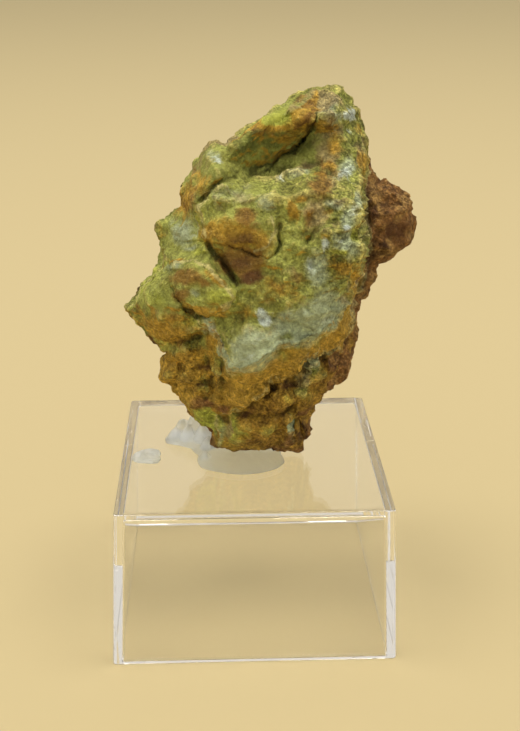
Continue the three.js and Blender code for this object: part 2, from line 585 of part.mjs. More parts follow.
function gluedAround(stone) {
  const pieces = solidFrom(glueGeometry()).subtract(grownStone(stone)).decompose();
  pieces.sort((p, q) => q.volume() - p.volume());
  return geometryOf(pieces[0]);
}

function meshOf(name, geometry, settings) {
  const mesh = new THREE.Mesh(geometry, new THREE.MeshStandardMaterial(settings));
  mesh.name = name;
  return mesh;
}

const stone = stoneGeometry();
const model = new THREE.Group();
model.add(meshOf("display_box", boxGeometry(), { color: 0xe4dcc4, roughness: 0.05, metalness: 0, transparent: true, opacity: 0.3 }));
model.add(meshOf("ferrosaponite_stone", stone, { color: 0x8f8442, roughness: 0.9, metalness: 0 }));
model.add(meshOf("glue_bed", gluedAround(stone), { color: 0xdcd6c4, roughness: 0.25, metalness: 0 }));
model.add(meshOf("glue_dab", dabGeometry(), { color: 0xdcd6c4, roughness: 0.35, metalness: 0 }));

// The origin goes to the bottom centre of the whole object
const bounds = new THREE.Box3().setFromObject(model);
const middle = bounds.getCenter(new THREE.Vector3());
model.position.set(-middle.x, -middle.y, -bounds.min.z);

export default model;
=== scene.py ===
"""Looks of a ferrosaponite specimen: a green and ochre clay stone, glued on an upturned clear box.

Shapes are given in millimetres and put into the meshes in metres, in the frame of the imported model.
"""

import bpy
import numpy as np
from mathutils import Matrix, Vector


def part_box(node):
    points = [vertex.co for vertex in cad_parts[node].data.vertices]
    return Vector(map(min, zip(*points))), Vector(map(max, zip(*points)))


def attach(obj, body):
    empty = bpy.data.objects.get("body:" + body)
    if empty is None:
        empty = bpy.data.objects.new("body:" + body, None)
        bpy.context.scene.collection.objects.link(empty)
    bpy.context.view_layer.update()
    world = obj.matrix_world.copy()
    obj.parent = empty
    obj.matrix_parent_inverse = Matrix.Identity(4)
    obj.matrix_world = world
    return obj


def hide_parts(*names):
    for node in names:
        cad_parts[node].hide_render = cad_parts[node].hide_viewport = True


bl_info = {
    "name": "Ferrosaponite specimen",
    "version": (1, 0, 0),
    "blender": (4, 5, 0),
    "location": "View3D > Sidebar > Specimen",
    "description": "Builds a green clay stone on a clear display box, with its studio",
    "category": "Object",
}

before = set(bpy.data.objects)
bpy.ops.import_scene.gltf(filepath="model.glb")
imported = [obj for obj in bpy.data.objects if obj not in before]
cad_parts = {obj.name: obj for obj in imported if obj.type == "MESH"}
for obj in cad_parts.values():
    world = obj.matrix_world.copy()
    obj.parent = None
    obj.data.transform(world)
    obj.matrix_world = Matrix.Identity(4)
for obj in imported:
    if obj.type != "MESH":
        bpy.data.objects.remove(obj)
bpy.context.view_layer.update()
MM = 0.001
BODY = "root"

# The clear box as packed gives the middle, the height and the foot width that the rest is set against
BOX_LOW, BOX_HIGH = (np.array(corner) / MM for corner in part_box("display_box"))
BOX_MIDDLE = (BOX_LOW + BOX_HIGH) / 2
BOX_HEIGHT = BOX_HIGH[2] - BOX_LOW[2]
BOX_FOOT_HALF = (BOX_HIGH[0] - BOX_LOW[0]) / 2
BOX_DRAFT = np.tan(np.radians(2.4))

# The stone's forms lie in a plane that leans back and turns a little: a to the right, b up, c forward.
# They narrow towards the front by c / TAPER_LENGTH.
STONE_CENTRE = np.array([BOX_MIDDLE[0] + 2.14, BOX_MIDDLE[1] + 1.0, 67.29])
FACE_LEAN = np.radians(17.35)
FACE_TURN = np.radians(-2.44)
TAPER_LENGTH = 212.6
FORWARD = np.array(
    [np.sin(FACE_TURN) * np.cos(FACE_LEAN), -np.cos(FACE_TURN) * np.cos(FACE_LEAN), np.sin(FACE_LEAN)]
)
RIGHT = np.array([np.cos(FACE_TURN), np.sin(FACE_TURN), 0.0])
UP = np.cross(FORWARD, RIGHT)

# Gaps: under the stone's foot, with how softly it is pressed flat, the least one under its crumbs, and a hair of air
# between clear faces, which would hide each other from the light if they lay at the same height
FIT_GAP = 0.3
FOOT_SOFTNESS = 0.4
LEAST_GAP = 0.05
AIR_GAP = 0.04

# How the grid's points are drawn to the middle of the front and the back
SPREAD_POWER = 1.25

# Sizes of the coarse and fine chips, and their mean height, which is taken off so that they don't swell the stone
COARSE_CHIP = 3.4
FINE_CHIP = 1.5
CHIP_MEAN = 0.66

# Outline of the stone in a, b, clockwise from the top
OUTLINE = [
    (4.1, 30.1), (6.0, 32.2), (9.0, 33.6), (12.3, 33.7), (14.6, 33.2), (16.9, 30.0), (18.4, 26.8), (19.2, 22.6),
    (19.5, 19.8), (20.8, 17.6), (21.4, 16.2), (23.6, 15.6), (27.0, 14.0), (27.9, 9.5), (27.0, 4.4), (24.8, 2.6),
    (21.6, 1.3), (20.4, -2.6), (18.4, -5.6), (17.5, -8.4), (17.5, -13.6), (16.5, -18.8), (13.2, -21.2),
    (9.4, -25.0), (7.4, -28.2), (8.6, -31.6), (7.6, -33.4), (5.2, -34.3), (2.2, -33.3), (-1.4, -34.4),
    (-5.4, -34.2), (-8.5, -33.0), (-9.6, -30.4), (-13.4, -27.1), (-15.0, -23.6), (-16.4, -21.4), (-18.4, -20.6),
    (-18.9, -18.2), (-17.7, -15.4), (-20.6, -12.9), (-23.2, -10.0), (-25.4, -7.0), (-24.0, -5.0), (-21.0, -1.0),
    (-18.7, 2.4), (-18.8, 5.2), (-19.5, 8.5), (-16.9, 9.8), (-14.9, 11.8), (-15.0, 15.2), (-12.6, 18.5),
    (-10.6, 22.2), (-9.0, 23.1), (-6.8, 22.9), (-4.6, 25.1), (-1.6, 26.9), (0.4, 28.8), (2.4, 29.8),
]

# Rounded lumps on the front: place, top, half sizes, turn, slopes along, above and below the ridge, foot, squareness
BOULDERS = {
    "shoulder": ((-8.9, 18.7), 12.0, (4.7, 4.9), 30, (0.2, 0.5, 0.3), 5.0, 3.4),
    "sill": ((-14.6, 12.0), 7.2, (1.9, 4.8), -24, (0.05, 0.1, 0.1), 4.0, 2.4),
    "wedge": ((-12.0, 3.6), 13.4, (2.8, 1.5), -10, (0.1, 0.3, 0.3), 2.5, 3.0),
    "stub": ((1.6, 1.2), 13.4, (1.7, 2.2), -20, (0.1, 0.3, 0.3), 2.4, 3.0),
    "thumb": ((5.7, 10.8), 15.0, (1.3, 1.7), 10, (0.2, 0.5, 0.4), 3.0, 3.0),
    "cushion": ((4.4, 15.4), 12.9, (4.8, 2.7), 10, (0.1, 0.5, 0.2), 3.5, 3.4),
    "corner": ((12.6, -8.6), 16.4, (5.2, 4.6), 25, (-0.1, 0.05, 0.1), 3.0, 3.0),
    "apron": ((-1.5, -14.6), 16.2, (7.0, 5.6), 35, (0.05, 0.06, 0.1), 1.8, 2.2),
    "apex": ((11.6, 28.6), 7.6, (5.8, 5.0), 40, (0.05, 0.3, 0.02), 4.0, 2.4),
    "flank": ((16.2, 4.5), 12.4, (3.4, 6.5), 8, (-0.45, 0.02, 0.05), 3.0, 2.4),
}

# Broken blocks, each the lowest of some tilted planes: place, height there, slopes along a and b
BLOCKS = {
    "knuckle": [
        ((-4.5, 9.3), 19.0, (0.0, -0.68)), ((-4.5, 9.3), 19.0, (0.04, 0.5)), ((-8.8, 8.0), 18.2, (1.3, 0.15)),
        ((-12.4, 11.0), 13.6, (2.05, -1.91)), ((-3.0, 17.4), 13.5, (0.3, -2.2)), ((2.3, 6.5), 17.2, (-1.9, 0.9)),
        ((-4.5, 4.0), 16.5, (1.3, 3.78)),
    ],
    "tongue": [
        ((-4.0, 1.0), 13.2, (-0.1, 0.35)), ((-6.8, 0.8), 13.0, (1.6, 1.3)), ((-3.0, -1.2), 12.2, (-0.2, 0.9)),
        ((1.4, 2.0), 13.0, (-1.2, 0.3)),
    ],
    "cheek": [
        ((-13.0, 0.2), 17.0, (0.03, -0.75)), ((-7.2, -1.0), 15.6, (-1.6, -1.7)), ((-11.0, -2.5), 18.0, (0.0, 0.28)),
        ((-15.5, -3.0), 16.4, (0.9, 0.3)), ((-14.8, -6.2), 15.4, (2.2, 1.85)), ((-10.5, -8.6), 15.6, (0.1, 3.0)),
        ((-6.3, -6.6), 14.8, (-1.9, 1.85)), ((-17.6, 0.5), 13.6, (2.0, 0.2)), ((-13.0, 2.5), 15.2, (0.2, -3.0)),
    ],
    "tip": [
        ((-18.5, -6.0), 13.8, (0.12, 0.1)), ((-21.5, -3.8), 12.8, (1.1, -1.1)), ((-17.0, -9.0), 13.5, (0.1, 0.75)),
        ((-23.5, -7.0), 10.4, (1.6, 0.2)),
    ],
    "fist": [
        ((8.0, 10.0), 16.3, (0.9, 0.1)), ((8.6, 10.0), 16.3, (-0.55, -0.1)), ((8.0, 12.4), 15.5, (0.1, -1.8)),
        ((8.2, 6.2), 14.6, (0.3, 1.6)), ((6.7, 9.5), 14.2, (2.4, 0.3)), ((10.9, 10.0), 14.2, (-2.2, -0.5)),
    ],
    "brow": [
        ((11.0, 17.0), 13.4, (0.0, -1.2)), ((11.0, 16.6), 13.6, (-0.1, 0.3)), ((8.6, 15.0), 12.8, (1.8, 0.6)),
        ((9.6, 13.4), 12.9, (1.0, 2.2)), ((13.0, 15.0), 12.6, (-0.9, 0.0)),
    ],
}

# The bowl under the crest, the highest of some tilted planes: floor, walls under the crest, left and lower walls,
# and the long slope right of the crack
BOWL = [
    ((1.5, 22.0), 1.6, (0.05, -0.6)), ((1.0, 26.0), 8.0, (0.0, 2.4)), ((-5.2, 24.2), 7.5, (-1.6, 1.7)),
    ((8.3, 28.3), 7.5, (-1.2, 1.4)), ((-3.4, 19.0), 8.5, (-2.2, -1.0)), ((-1.0, 17.4), 8.0, (0.4, -2.4)),
    ((6.5, 22.0), 5.2, (0.55, -0.35)),
]

# Lumps and ribs that stand on the layers under the ledges, in the same form as the boulders
LOW_BOULDERS = {
    "brown block": ((3.4, -23.8), 7.8, (3.0, 2.5), 55, (0.15, 0.25, 0.35), 3.0, 3.4),
    "crinkled lump": ((9.5, -18.9), 8.8, (2.3, 3.3), -28, (0.05, 0.2, 0.2), 3.0, 2.6),
    "right shelf": ((9.0, -22.9), 6.2, (2.8, 1.9), 35, (0.1, 0.2, 0.5), 2.6, 2.6),
    "red chunk": ((14.1, -17.1), 8.4, (2.3, 1.9), 0, (-0.1, 0.1, 0.2), 2.6, 3.6),
    "foot": ((-1.4, -30.0), 7.6, (5.2, 3.6), 5, (0.05, 0.35, 0.3), 3.4, 2.8),
    "foot rib": ((5.2, -30.6), 7.4, (1.2, 3.4), 12, (0.1, 0.3, 0.2), 2.6, 2.4),
    "dark knob": ((7.8, -30.6), 6.6, (1.4, 2.4), -8, (0.1, 0.2, 0.2), 2.4, 3.2),
    "left knob": ((-17.0, -19.0), 6.6, (2.1, 2.1), 20, (0.1, 0.3, 0.2), 3.0, 2.6),
    "left lump": ((-13.7, -20.4), 8.0, (2.2, 2.2), 30, (0.1, 0.3, 0.35), 3.0, 2.6),
    "yellow lump": ((-11.6, -22.9), 8.8, (1.9, 1.4), 20, (0.1, 0.3, 0.4), 2.6, 2.4),
    "rust knob": ((-9.7, -25.4), 8.8, (2.6, 1.6), 12, (0.1, 0.3, 0.6), 2.6, 2.6),
    "rib": ((-8.3, -19.9), 10.4, (0.9, 3.4), 6, (0.1, 0.05, 0.05), 3.0, 2.2),
    "left brow": ((-14.6, -15.4), 9.2, (3.0, 1.6), -10, (0.1, 0.2, 0.6), 3.0, 2.6),
}

# Hollows in the front: place, half sizes, depth
HOLLOWS = {
    "left valley": ((-15.4, 7.0), (3.8, 4.0), 3.6),
    "round the knuckle": ((0.0, 7.0), (10.0, 8.5), 3.4),
    "right of the cheek": ((-3.3, -1.2), (5.0, 5.0), 3.0),
}

# Small knobs and pits: a, b, radius, height (negative for a pit)
KNOBS = [
    (-13.6, -24.0, 1.8, 1.4), (4.4, -28.4, 1.4, 0.8), (-3.6, -28.6, 1.8, 0.8), (-11.1, -17.9, 1.7, -1.8),
    (-1.6, -31.8, 1.0, -2.0), (-13.0, -14.8, 2.0, -0.9), (2.0, -25.0, 1.4, 0.6), (15.4, -1.6, 1.6, 0.9),
    (13.0, 6.6, 1.5, 0.6), (17.0, 12.0, 1.6, 0.6), (14.0, 21.0, 2.0, 0.7), (5.5, -1.5, 2.0, 0.6),
    (-11.0, -21.2, 0.9, -0.9), (0.8, -27.4, 1.2, -0.9), (16.4, 23.4, 1.0, -0.8), (6.6, -26.9, 1.0, -1.6),
    (-14.9, -18.0, 1.0, -0.8), (-7.2, -27.6, 1.0, -1.4), (6.4, -20.9, 1.1, -1.4), (12.2, -19.8, 1.0, -1.4),
    (-2.6, -25.9, 1.2, -0.8), (13.6, 26.4, 0.9, -0.7), (16.8, 15.2, 0.8, -0.6), (10.8, 6.6, 0.9, -0.7),
    (15.2, 1.6, 1.0, -0.7), (-21.6, -7.2, 1.2, 0.7), (-19.6, -9.6, 1.3, 0.8), (-16.4, -9.6, 1.4, 0.7),
    (2.2, -6.2, 1.2, -0.5), (4.4, -8.4, 1.5, 0.5), (-12.4, -4.4, 2.0, -0.7), (-8.4, -5.0, 2.2, 0.5),
    (-16.6, -6.6, 1.3, 0.6), (-5.0, 6.8, 1.6, -0.4), (-1.2, 6.2, 1.2, 0.4), (-2.6, 10.0, 1.8, -0.5),
    (-7.4, 12.6, 1.4, 0.4), (17.0, 23.0, 0.9, -0.9), (16.2, 30.4, 0.9, -0.9), (13.2, 32.0, 0.9, 0.5),
    (16.4, 25.6, 0.8, -0.6), (12.0, 3.2, 0.6, -1.2),
]

# Lines across the stone: right edge of the green body as b to a, the others as a to b
RIGHT_EDGE = [
    (-30, 9.5), (-24, 10.5), (-20, 13.0), (-16, 14.6), (-13, 16.2), (-8, 16.6), (-5, 17.6), (-1, 19.0), (4, 20.2),
    (10, 19.6), (24, 19.2), (28, 22),
]
CREST = [
    (-6.5, 23.3), (-3.8, 26.0), (-1.0, 27.1), (0.9, 26.3), (4.6, 26.7), (6.4, 27.4), (8.3, 29.1), (10.6, 31.1),
]
UPPER_LEDGE = [
    (-12.5, -9.0), (-10.0, -11.2), (-8.7, -12.8), (-7.4, -16.2), (-6.2, -19.2), (-4.8, -19.7), (-3, -18.9),
    (-1.2, -18.0), (0.7, -16.7), (3, -14.6), (6.7, -14.3), (10.4, -12.6), (13.3, -11.3), (15.0, -8.6), (17.0, -5.0),
]
LOWER_LEDGE = [
    (-9, -27.8), (-6.7, -26.9), (-3, -25.2), (0, -23), (2.2, -20.2), (5.9, -19.3), (7.8, -17.4), (10.4, -15.9),
    (14.1, -14.8), (15.9, -12.2), (18, -9),
]

# Cracks: half width, depth, points
CRACKS = [
    (0.22, 2.6, [
        (-1.3, 17.1), (1.2, 18.5), (2.2, 20.1), (3.0, 21.4), (5.8, 22.3), (7.2, 23.8), (8.3, 25.4), (9.8, 27.0),
        (10.6, 29.5),
    ]),
    (0.36, 1.6, [(5.8, 22.3), (7.2, 23.8), (8.3, 25.4), (9.4, 26.6)]),
    (0.3, 2.4, [(-10.2, 5.2), (-9.6, 4.0), (-7.8, 2.2), (-6.8, 0.6), (-5.8, -1.4), (-4.6, -2.8)]),
    (0.24, 1.0, [
        (-11.4, 5.8), (-10.2, 5.3), (-7.3, 5.1), (-5.6, 4.1), (-3.2, 3.5), (-0.9, 2.6), (1.2, 2.4), (2.8, 3.4),
    ]),
    (0.24, 1.2, [
        (-17.2, -2.4), (-16.9, -3.5), (-15.7, -6.0), (-14.6, -7.5), (-12.6, -8.8), (-10.5, -8.9), (-8.5, -8.0),
    ]),
    (0.3, 1.8, [(-12.4, 12.2), (-10.5, 14.0), (-8.6, 16), (-6, 17.0), (-4.4, 17.2)]),
    (0.3, 1.4, [(3.4, 8.2), (2.9, 6.4), (3.4, 4.6), (2.6, 3.2)]),
    (0.3, 0.5, [(-6.4, -26.9), (-3, -25.6), (0, -23.4)]),
    (0.35, 1.0, [(4.6, -26.6), (6.2, -25.0), (6.8, -22.6), (7.2, -20.4), (8.2, -17.8)]),
    (0.4, 0.3, [(-5.4, -27.6), (-3.2, -26.8), (0, -27.2), (2.4, -27.0)]),
    (0.4, 2.2, [(6.6, -34), (6.3, -30.6), (6.0, -27.6)]),
    (0.35, 2.0, [(10, 7.2), (8.9, 5.8), (8.1, 4.8)]),
    (0.25, 1.0, [(5, 16), (5.6, 15), (5.4, 14)]),
    (0.5, 0.7, [(-16.6, -12.6), (-14.4, -13.7), (-12.2, -12.9), (-11, -11.4)]),
]

# Rims of the blocks, where a highlight is painted
RIMS = [
    [(-9.8, 6.2), (-11.6, 9.0), (-12.0, 11.4), (-9.6, 13.8), (-7.3, 15.6)],
    [(-16.4, 1.2), (-13.0, 1.9), (-9.8, 0.2), (-6.6, -3.6), (-5.4, -5.2), (-7.6, -6.8)],
    [(-25.0, -7.0), (-22.4, -3.6), (-19.4, -0.4), (-17.4, 2.6)],
    [(2.4, 16.2), (4.8, 17.8), (7.6, 17.6)],
    [(-1.6, 3.4), (1.0, 4.6), (2.4, 7.4), (1.6, 10.0)],
    [(-8.6, -27.4), (-8.3, -30.4), (-7.6, -33.2)],
]

# Facets of the red-brown lump behind the right edge: place, height, slopes along a and b
RED_FACETS = [
    ((21.5, 13.0), 1.8, (0.25, 0.1)),
    ((25.0, 13.5), 1.8, (-0.5, -0.5)),
    ((24.6, 7.4), 0.4, (-0.4, 0.6)),
    ((21.4, 18.0), 0.6, (0.3, -1.6)),
]
RED_LIMIT = 2.4
RED_LOW = -1.0

# Back of the stone: angular blocks on a jittered grid
BACK_DEPTH = 16.5
BACK_GRID = 9
BACK_ROWS = 4

# Soft-edged patches of colour on the front: a, b, half sizes, turn, strength
COLOUR_PATCHES = {
    "ochre": [
        (-4.5, 6.4, 6.6, 2.8, -14, 1.1), (-9.4, 7.2, 2.0, 2.4, -40, 1.0), (8.6, 28.4, 3.0, 1.2, 45, 1.1),
        (13.3, 22.8, 1.6, 2.4, 0, 0.9), (12.0, 19.2, 1.7, 0.9, 0, 0.9), (11.0, 17.4, 2.0, 0.6, 0, 1.1),
        (5.6, 10.8, 0.9, 1.9, 10, 1.1), (7.2, 12.7, 1.5, 0.6, 0, 1.0), (12.3, 10.9, 1.4, 0.6, 30, 0.6),
        (-11.3, 15.6, 1.8, 2.0, 0, 0.8), (-14.0, 12.5, 1.4, 3.6, -20, 0.9), (-18.0, -11.0, 6.0, 2.6, -20, 1.0),
        (-16.0, 2.1, 1.6, 0.5, 0, 0.8), (-8.6, -1.8, 2.6, 0.8, -40, 0.9), (-11.4, -7.6, 2.8, 0.9, 5, 0.9),
        (2.5, -3.5, 5.5, 2.6, -20, 0.6), (-3.5, -8.4, 2.4, 2.2, 0, 0.5), (0.5, -11.0, 2.8, 1.5, 0, 0.4),
        (15.6, 0.0, 3.0, 1.6, 0, 0.9), (17.6, -2.4, 1.2, 2.4, 0, 0.9), (18.6, 19.6, 0.8, 2.6, 0, 0.8),
        (-18.9, 6.0, 0.8, 3.0, 5, 0.9), (17.6, 26.0, 1.3, 1.0, 0, 0.7), (11.4, 26.0, 1.2, 1.2, 0, 0.7),
    ],
    "brown": [
        (-7.2, 5.6, 3.6, 1.2, -20, 0.6), (-13.4, 12.4, 1.2, 2.8, -15, 0.7), (-18.4, 4.0, 1.0, 4.0, 0, 0.5),
        (-3.2, 9.9, 2.2, 1.8, -30, 1.2), (-1.6, 8.4, 1.8, 1.4, 0, 0.7), (-4.0, 1.4, 4.6, 3.2, -10, 1.2),
        (-2.0, 3.0, 3.4, 1.6, -20, 0.8), (10.6, 15.4, 2.2, 2.4, -30, 1.1), (10.9, 19.0, 1.2, 2.4, 10, 0.7),
        (8.6, 9.4, 1.6, 2.8, -15, 0.7), (-13.6, -1.6, 3.6, 1.6, 0, 1.0), (-14.9, -4.6, 1.5, 1.8, -30, 0.9),
        (-10.4, -2.4, 2.0, 1.0, -10, 0.8), (6.4, -1.8, 2.6, 1.8, 0, 0.6), (3.0, -3.6, 3.0, 1.4, -20, 0.5),
        (9.2, 30.6, 1.4, 1.0, 45, 0.9), (12.9, 26.8, 0.9, 1.2, 0, 0.9), (7.2, 31.6, 1.8, 0.8, 35, 0.7),
        (7.6, 27.0, 2.4, 1.1, 42, 1.1), (-1.6, -31.9, 2.2, 0.8, 0, 0.9), (5.0, -32.2, 1.6, 1.6, 0, 0.8),
        (12.2, 20.0, 1.4, 0.9, 0, 0.6), (-16.8, -9.0, 1.6, 1.2, 0, 0.5), (-22.9, -7.2, 0.7, 1.2, 0, 0.8),
        (18.6, 16.0, 0.7, 2.4, 0, 0.5),
    ],
    "tan": [
        (-6.2, -29.8, 1.3, 2.2, 0, 0.8), (-5.4, 12.8, 4.4, 2.2, 0, 0.55), (-11.4, 18.6, 1.8, 2.6, -30, 0.6),
        (8.4, 19.2, 2.6, 1.0, 10, 0.6), (-15.0, -17.0, 3.6, 2.6, 0, 0.7), (8.6, -20.0, 2.4, 3.4, -20, 0.7),
        (-8.0, -21.5, 1.2, 2.6, 10, 0.7), (10.6, -15.4, 4.6, 1.0, 18, 1.0), (-13.6, -21.4, 3.0, 2.6, 0, 0.6),
        (2.4, -21.8, 4.6, 0.8, 32, 0.8), (11.0, 31.0, 4.4, 2.2, 20, 1.1), (12.6, 26.0, 2.6, 3.0, 0, 1.0),
        (12.2, 21.4, 2.4, 3.4, 0, 1.0), (12.4, 16.8, 2.6, 2.0, 0, 0.7), (9.8, 9.8, 2.4, 3.4, 15, 1.2),
        (14.4, 12.6, 2.4, 1.6, 0, 0.6), (18.0, 21.0, 1.0, 4.0, 0, 0.8), (6.6, 29.8, 2.4, 0.8, 35, 0.7),
        (-13.2, 13.6, 1.4, 2.6, -20, 0.6), (-19.6, -8.0, 3.4, 1.6, 0, 0.5), (13.6, 8.8, 1.6, 1.4, 0, 0.6),
        (5.0, -1.0, 2.4, 1.4, 0, 0.5), (-8.6, -12.4, 1.6, 2.4, 30, 0.8), (2.0, -6.2, 2.4, 1.2, 0, 0.4),
        (15.8, -4.4, 1.0, 3.0, 0, 0.7),
    ],
    "flake": [
        (21.6, 12.6, 1.6, 4.2, 0, 0.9), (25.6, 11.6, 1.6, 1.0, -30, 0.8), (24.0, 3.2, 3.4, 0.9, 15, 1.0),
        (27.0, 6.6, 0.7, 2.6, 0, 0.8), (20.2, -1.4, 1.2, 3.0, 0, 0.8), (17.0, -12.0, 0.8, 3.0, 0, 0.6),
        (13.4, -16.6, 1.6, 1.2, 0, 0.6), (23.0, 15.4, 1.4, 0.6, -10, 0.9),
    ],
    "pale": [
        (15.8, 4.8, 3.2, 3.2, 0, 0.8), (-1.5, -15.0, 6.0, 4.2, 35, 1.1), (7.0, -10.5, 7.0, 3.8, 20, 1.1),
        (12.0, -6.5, 4.0, 3.6, 0, 1.0), (-6.0, 13.6, 5.0, 2.8, 0, 0.5), (0.6, 12.4, 2.6, 2.0, 0, 0.6),
        (7.0, 18.0, 2.8, 1.0, 10, 0.7), (-16.4, 0.8, 2.2, 1.2, 20, 0.6), (11.8, 30.2, 2.4, 2.0, 0, 0.9),
        (17.6, 13.0, 1.1, 1.8, 0, 0.8), (13.6, 12.2, 2.4, 1.0, 0, 0.8), (16.0, 10.0, 1.8, 2.8, 0, 0.9),
        (15.4, 18.6, 2.0, 2.0, 0, 0.8), (10.0, 0.0, 2.6, 3.4, 0, 0.9), (2.8, 28.9, 2.0, 0.6, 5, 0.5),
        (-12.4, -4.2, 1.4, 1.0, 0, 0.6), (-9.0, 21.0, 2.0, 1.2, 0, 0.4), (13.6, 28.2, 2.0, 1.6, 0, 0.8),
        (-14.8, 7.2, 2.6, 2.4, 0, 0.9), (-13.0, 4.4, 2.0, 0.7, 10, 0.6), (-8.4, -29.6, 2.2, 1.4, -45, 0.9),
        (-7.6, -30.4, 0.7, 3.4, 0, 0.6), (0.6, -8.9, 1.6, 1.0, -50, 0.8), (5.5, -29.8, 0.7, 2.6, 8, 1.0),
        (-7.6, -20.0, 0.8, 3.0, 6, 0.5), (9.3, -17.6, 2.4, 2.4, -20, 1.0), (7.6, -20.6, 1.6, 2.0, -20, 0.8),
        (19.0, 24.0, 0.6, 3.0, 0, 0.6), (-10.4, -11.2, 1.6, 1.0, 0, 0.7),
    ],
    "lime": [
        (3.0, 28.0, 3.6, 1.6, 10, 1.1), (-3.6, 26.2, 2.6, 0.7, 30, 0.7), (-8.0, -4.8, 3.0, 1.6, 0, 0.9),
        (-5.2, -4.4, 1.0, 2.2, 0, 0.7), (-21.5, -2.7, 4.2, 0.9, 45, 0.9), (-19.0, 0.4, 3.0, 0.7, 40, 0.8),
        (-19.4, -5.2, 2.8, 2.0, -30, 0.6), (-24.4, -6.8, 1.0, 0.8, 0, 0.9), (-10.6, 6.2, 0.8, 1.8, -10, 1.0),
        (-11.6, 3.6, 1.8, 0.9, 0, 0.8), (-11.9, 9.6, 0.7, 1.6, -20, 1.0), (-10.2, -28.0, 3.8, 2.2, -42, 1.2),
        (8.0, -21.6, 2.0, 2.4, -20, 0.6), (-4.0, -30.4, 2.4, 2.6, 0, 0.7), (1.0, -29.6, 2.6, 1.2, 0, 0.6),
        (9.4, -19.6, 2.2, 2.0, 0, 0.5), (-17.2, -19.2, 1.6, 1.6, 0, 0.5), (-13.6, -19.6, 2.0, 1.4, 20, 0.45),
        (-11.6, -22.6, 1.8, 0.9, 20, 0.45), (-8.2, -18.6, 0.7, 3.0, 6, 0.5), (-15.4, -14.8, 2.6, 0.9, -10, 0.4),
        (-5.4, -29.6, 1.7, 3.2, 0, 1.0), (-5.6, -33.0, 2.0, 0.8, 0, 0.6), (-17.4, -8.4, 2.0, 1.0, 0, 0.4),
        (-13.4, -10.2, 1.4, 0.8, 0, 0.8), (5.2, -24.3, 0.9, 1.2, -40, 0.6), (17.6, 6.2, 1.2, 2.0, 0, 0.8),
        (14.4, 3.4, 2.0, 1.0, 0, 0.8),
    ],
    "blue": [
        (0.6, -8.9, 1.6, 0.9, -50, 2.6), (16.4, 28.5, 1.6, 1.3, -30, 1.4), (14.8, 17.6, 1.9, 0.9, 15, 1.1),
        (15.6, 8.2, 0.8, 0.6, 0, 1.5), (11.8, 4.7, 0.9, 1.2, 0, 1.3), (-8.1, 20.3, 1.0, 1.1, 0, 0.9),
        (9.0, 0.6, 1.2, 2.4, 10, 0.9), (14.6, 5.8, 1.1, 0.5, 15, 0.9), (16.3, 25.2, 0.8, 0.8, 0, 0.8),
        (3.3, 16.6, 1.1, 0.7, 0, 0.9), (7.0, -7.8, 3.0, 1.2, 10, 0.6), (-3.0, -16.6, 2.6, 1.4, 35, 0.7),
        (12.6, -9.4, 2.4, 1.4, 20, 0.7), (-15.0, 8.4, 1.8, 1.0, 0, 0.45), (17.2, 11.4, 1.0, 1.8, 0, 0.8),
        (13.2, 30.6, 1.0, 1.4, 0, 0.6), (4.6, 28.2, 1.0, 0.3, 0, 0.5), (-9.4, -10.8, 1.2, 0.9, 0, 0.7),
        (-1.0, -13.0, 2.2, 1.0, 30, 0.6), (-12.8, 6.4, 1.0, 0.9, 0, 0.5),
    ],
    "rust": [
        (14.1, -17.1, 2.6, 2.2, 0, 1.2), (-10.6, -25.0, 2.6, 1.1, -10, 1.0), (-7.0, -25.8, 2.0, 0.7, 10, 1.0),
        (5.0, -32.6, 1.8, 1.4, 0, 1.0), (8.6, -26.0, 1.6, 0.6, 20, 1.0),
    ],
    # Umber: dark brown on knobs, facets and the red rock, and painted shade on the knuckle's lower face, under the
    # tongue and on the trough's wall
    "umber": [
        (-3.6, 5.8, 4.2, 1.8, -12, 0.8), (-4.4, 1.2, 3.6, 2.0, -10, 0.7), (-2.0, -1.4, 2.4, 1.6, 0, 1.1),
        (1.0, 24.8, 3.4, 1.0, 0, 0.5), (-2.7, 10.0, 1.8, 1.4, 0, 0.35), (-13.2, 12.5, 1.2, 2.8, 0, 0.35),
        (-1.6, -1.0, 2.6, 1.2, 10, 0.8), (1.2, -22.0, 1.8, 1.4, 25, 0.5), (5.0, -21.2, 1.6, 0.7, 15, 0.9),
        (9.4, 26.6, 0.5, 2.0, -35, 0.7), (8.0, -30.6, 1.4, 3.0, 0, 0.8), (24.8, 7.4, 2.3, 1.9, 20, 1.3),
        (21.0, 10.2, 0.9, 1.6, 0, 1.1), (22.4, 4.6, 1.2, 0.7, 10, 1.0), (25.6, 14.8, 1.8, 0.6, -20, 0.7),
        (20.0, 14.6, 0.6, 2.6, 0, 0.7), (12.6, -17.6, 1.0, 1.0, 0, 0.9), (-10.6, -18.2, 1.9, 1.0, -10, 0.8),
        (-11.4, -21.4, 1.3, 0.5, 0, 0.8), (-14.6, -13.2, 2.2, 0.8, 0, 0.7), (-2.6, -26.4, 2.8, 0.8, 25, 0.8),
        (6.6, -26.8, 1.2, 0.6, 30, 0.9), (-5.0, 4.9, 2.6, 0.4, -18, 0.5),
    ],
    # Deep green of the trough, partly painted shade under the crest's lip and in the hollow under the tongue
    "deep": [
        (-8.2, 16.8, 3.0, 2.4, 20, 0.6), (-15.2, 8.3, 2.2, 2.2, 0, 0.4), (-2.4, 22.8, 3.4, 2.4, 20, 1.0),
        (3.4, 24.4, 3.4, 1.2, 5, 1.0), (8.0, 22.8, 2.6, 1.6, 30, 0.8), (-3.0, -1.4, 3.0, 1.2, 0, 1.1),
        (1.5, 23.2, 4.0, 1.2, 8, 0.8), (1.6, 21.0, 2.6, 1.6, 20, 0.7), (-19.0, -4.6, 2.2, 2.0, -30, 0.7),
        (16.2, 30.6, 1.2, 1.0, -30, 1.2), (17.1, 23.0, 0.9, 1.2, 0, 1.3), (13.6, 1.0, 1.8, 2.0, 0, 0.7),
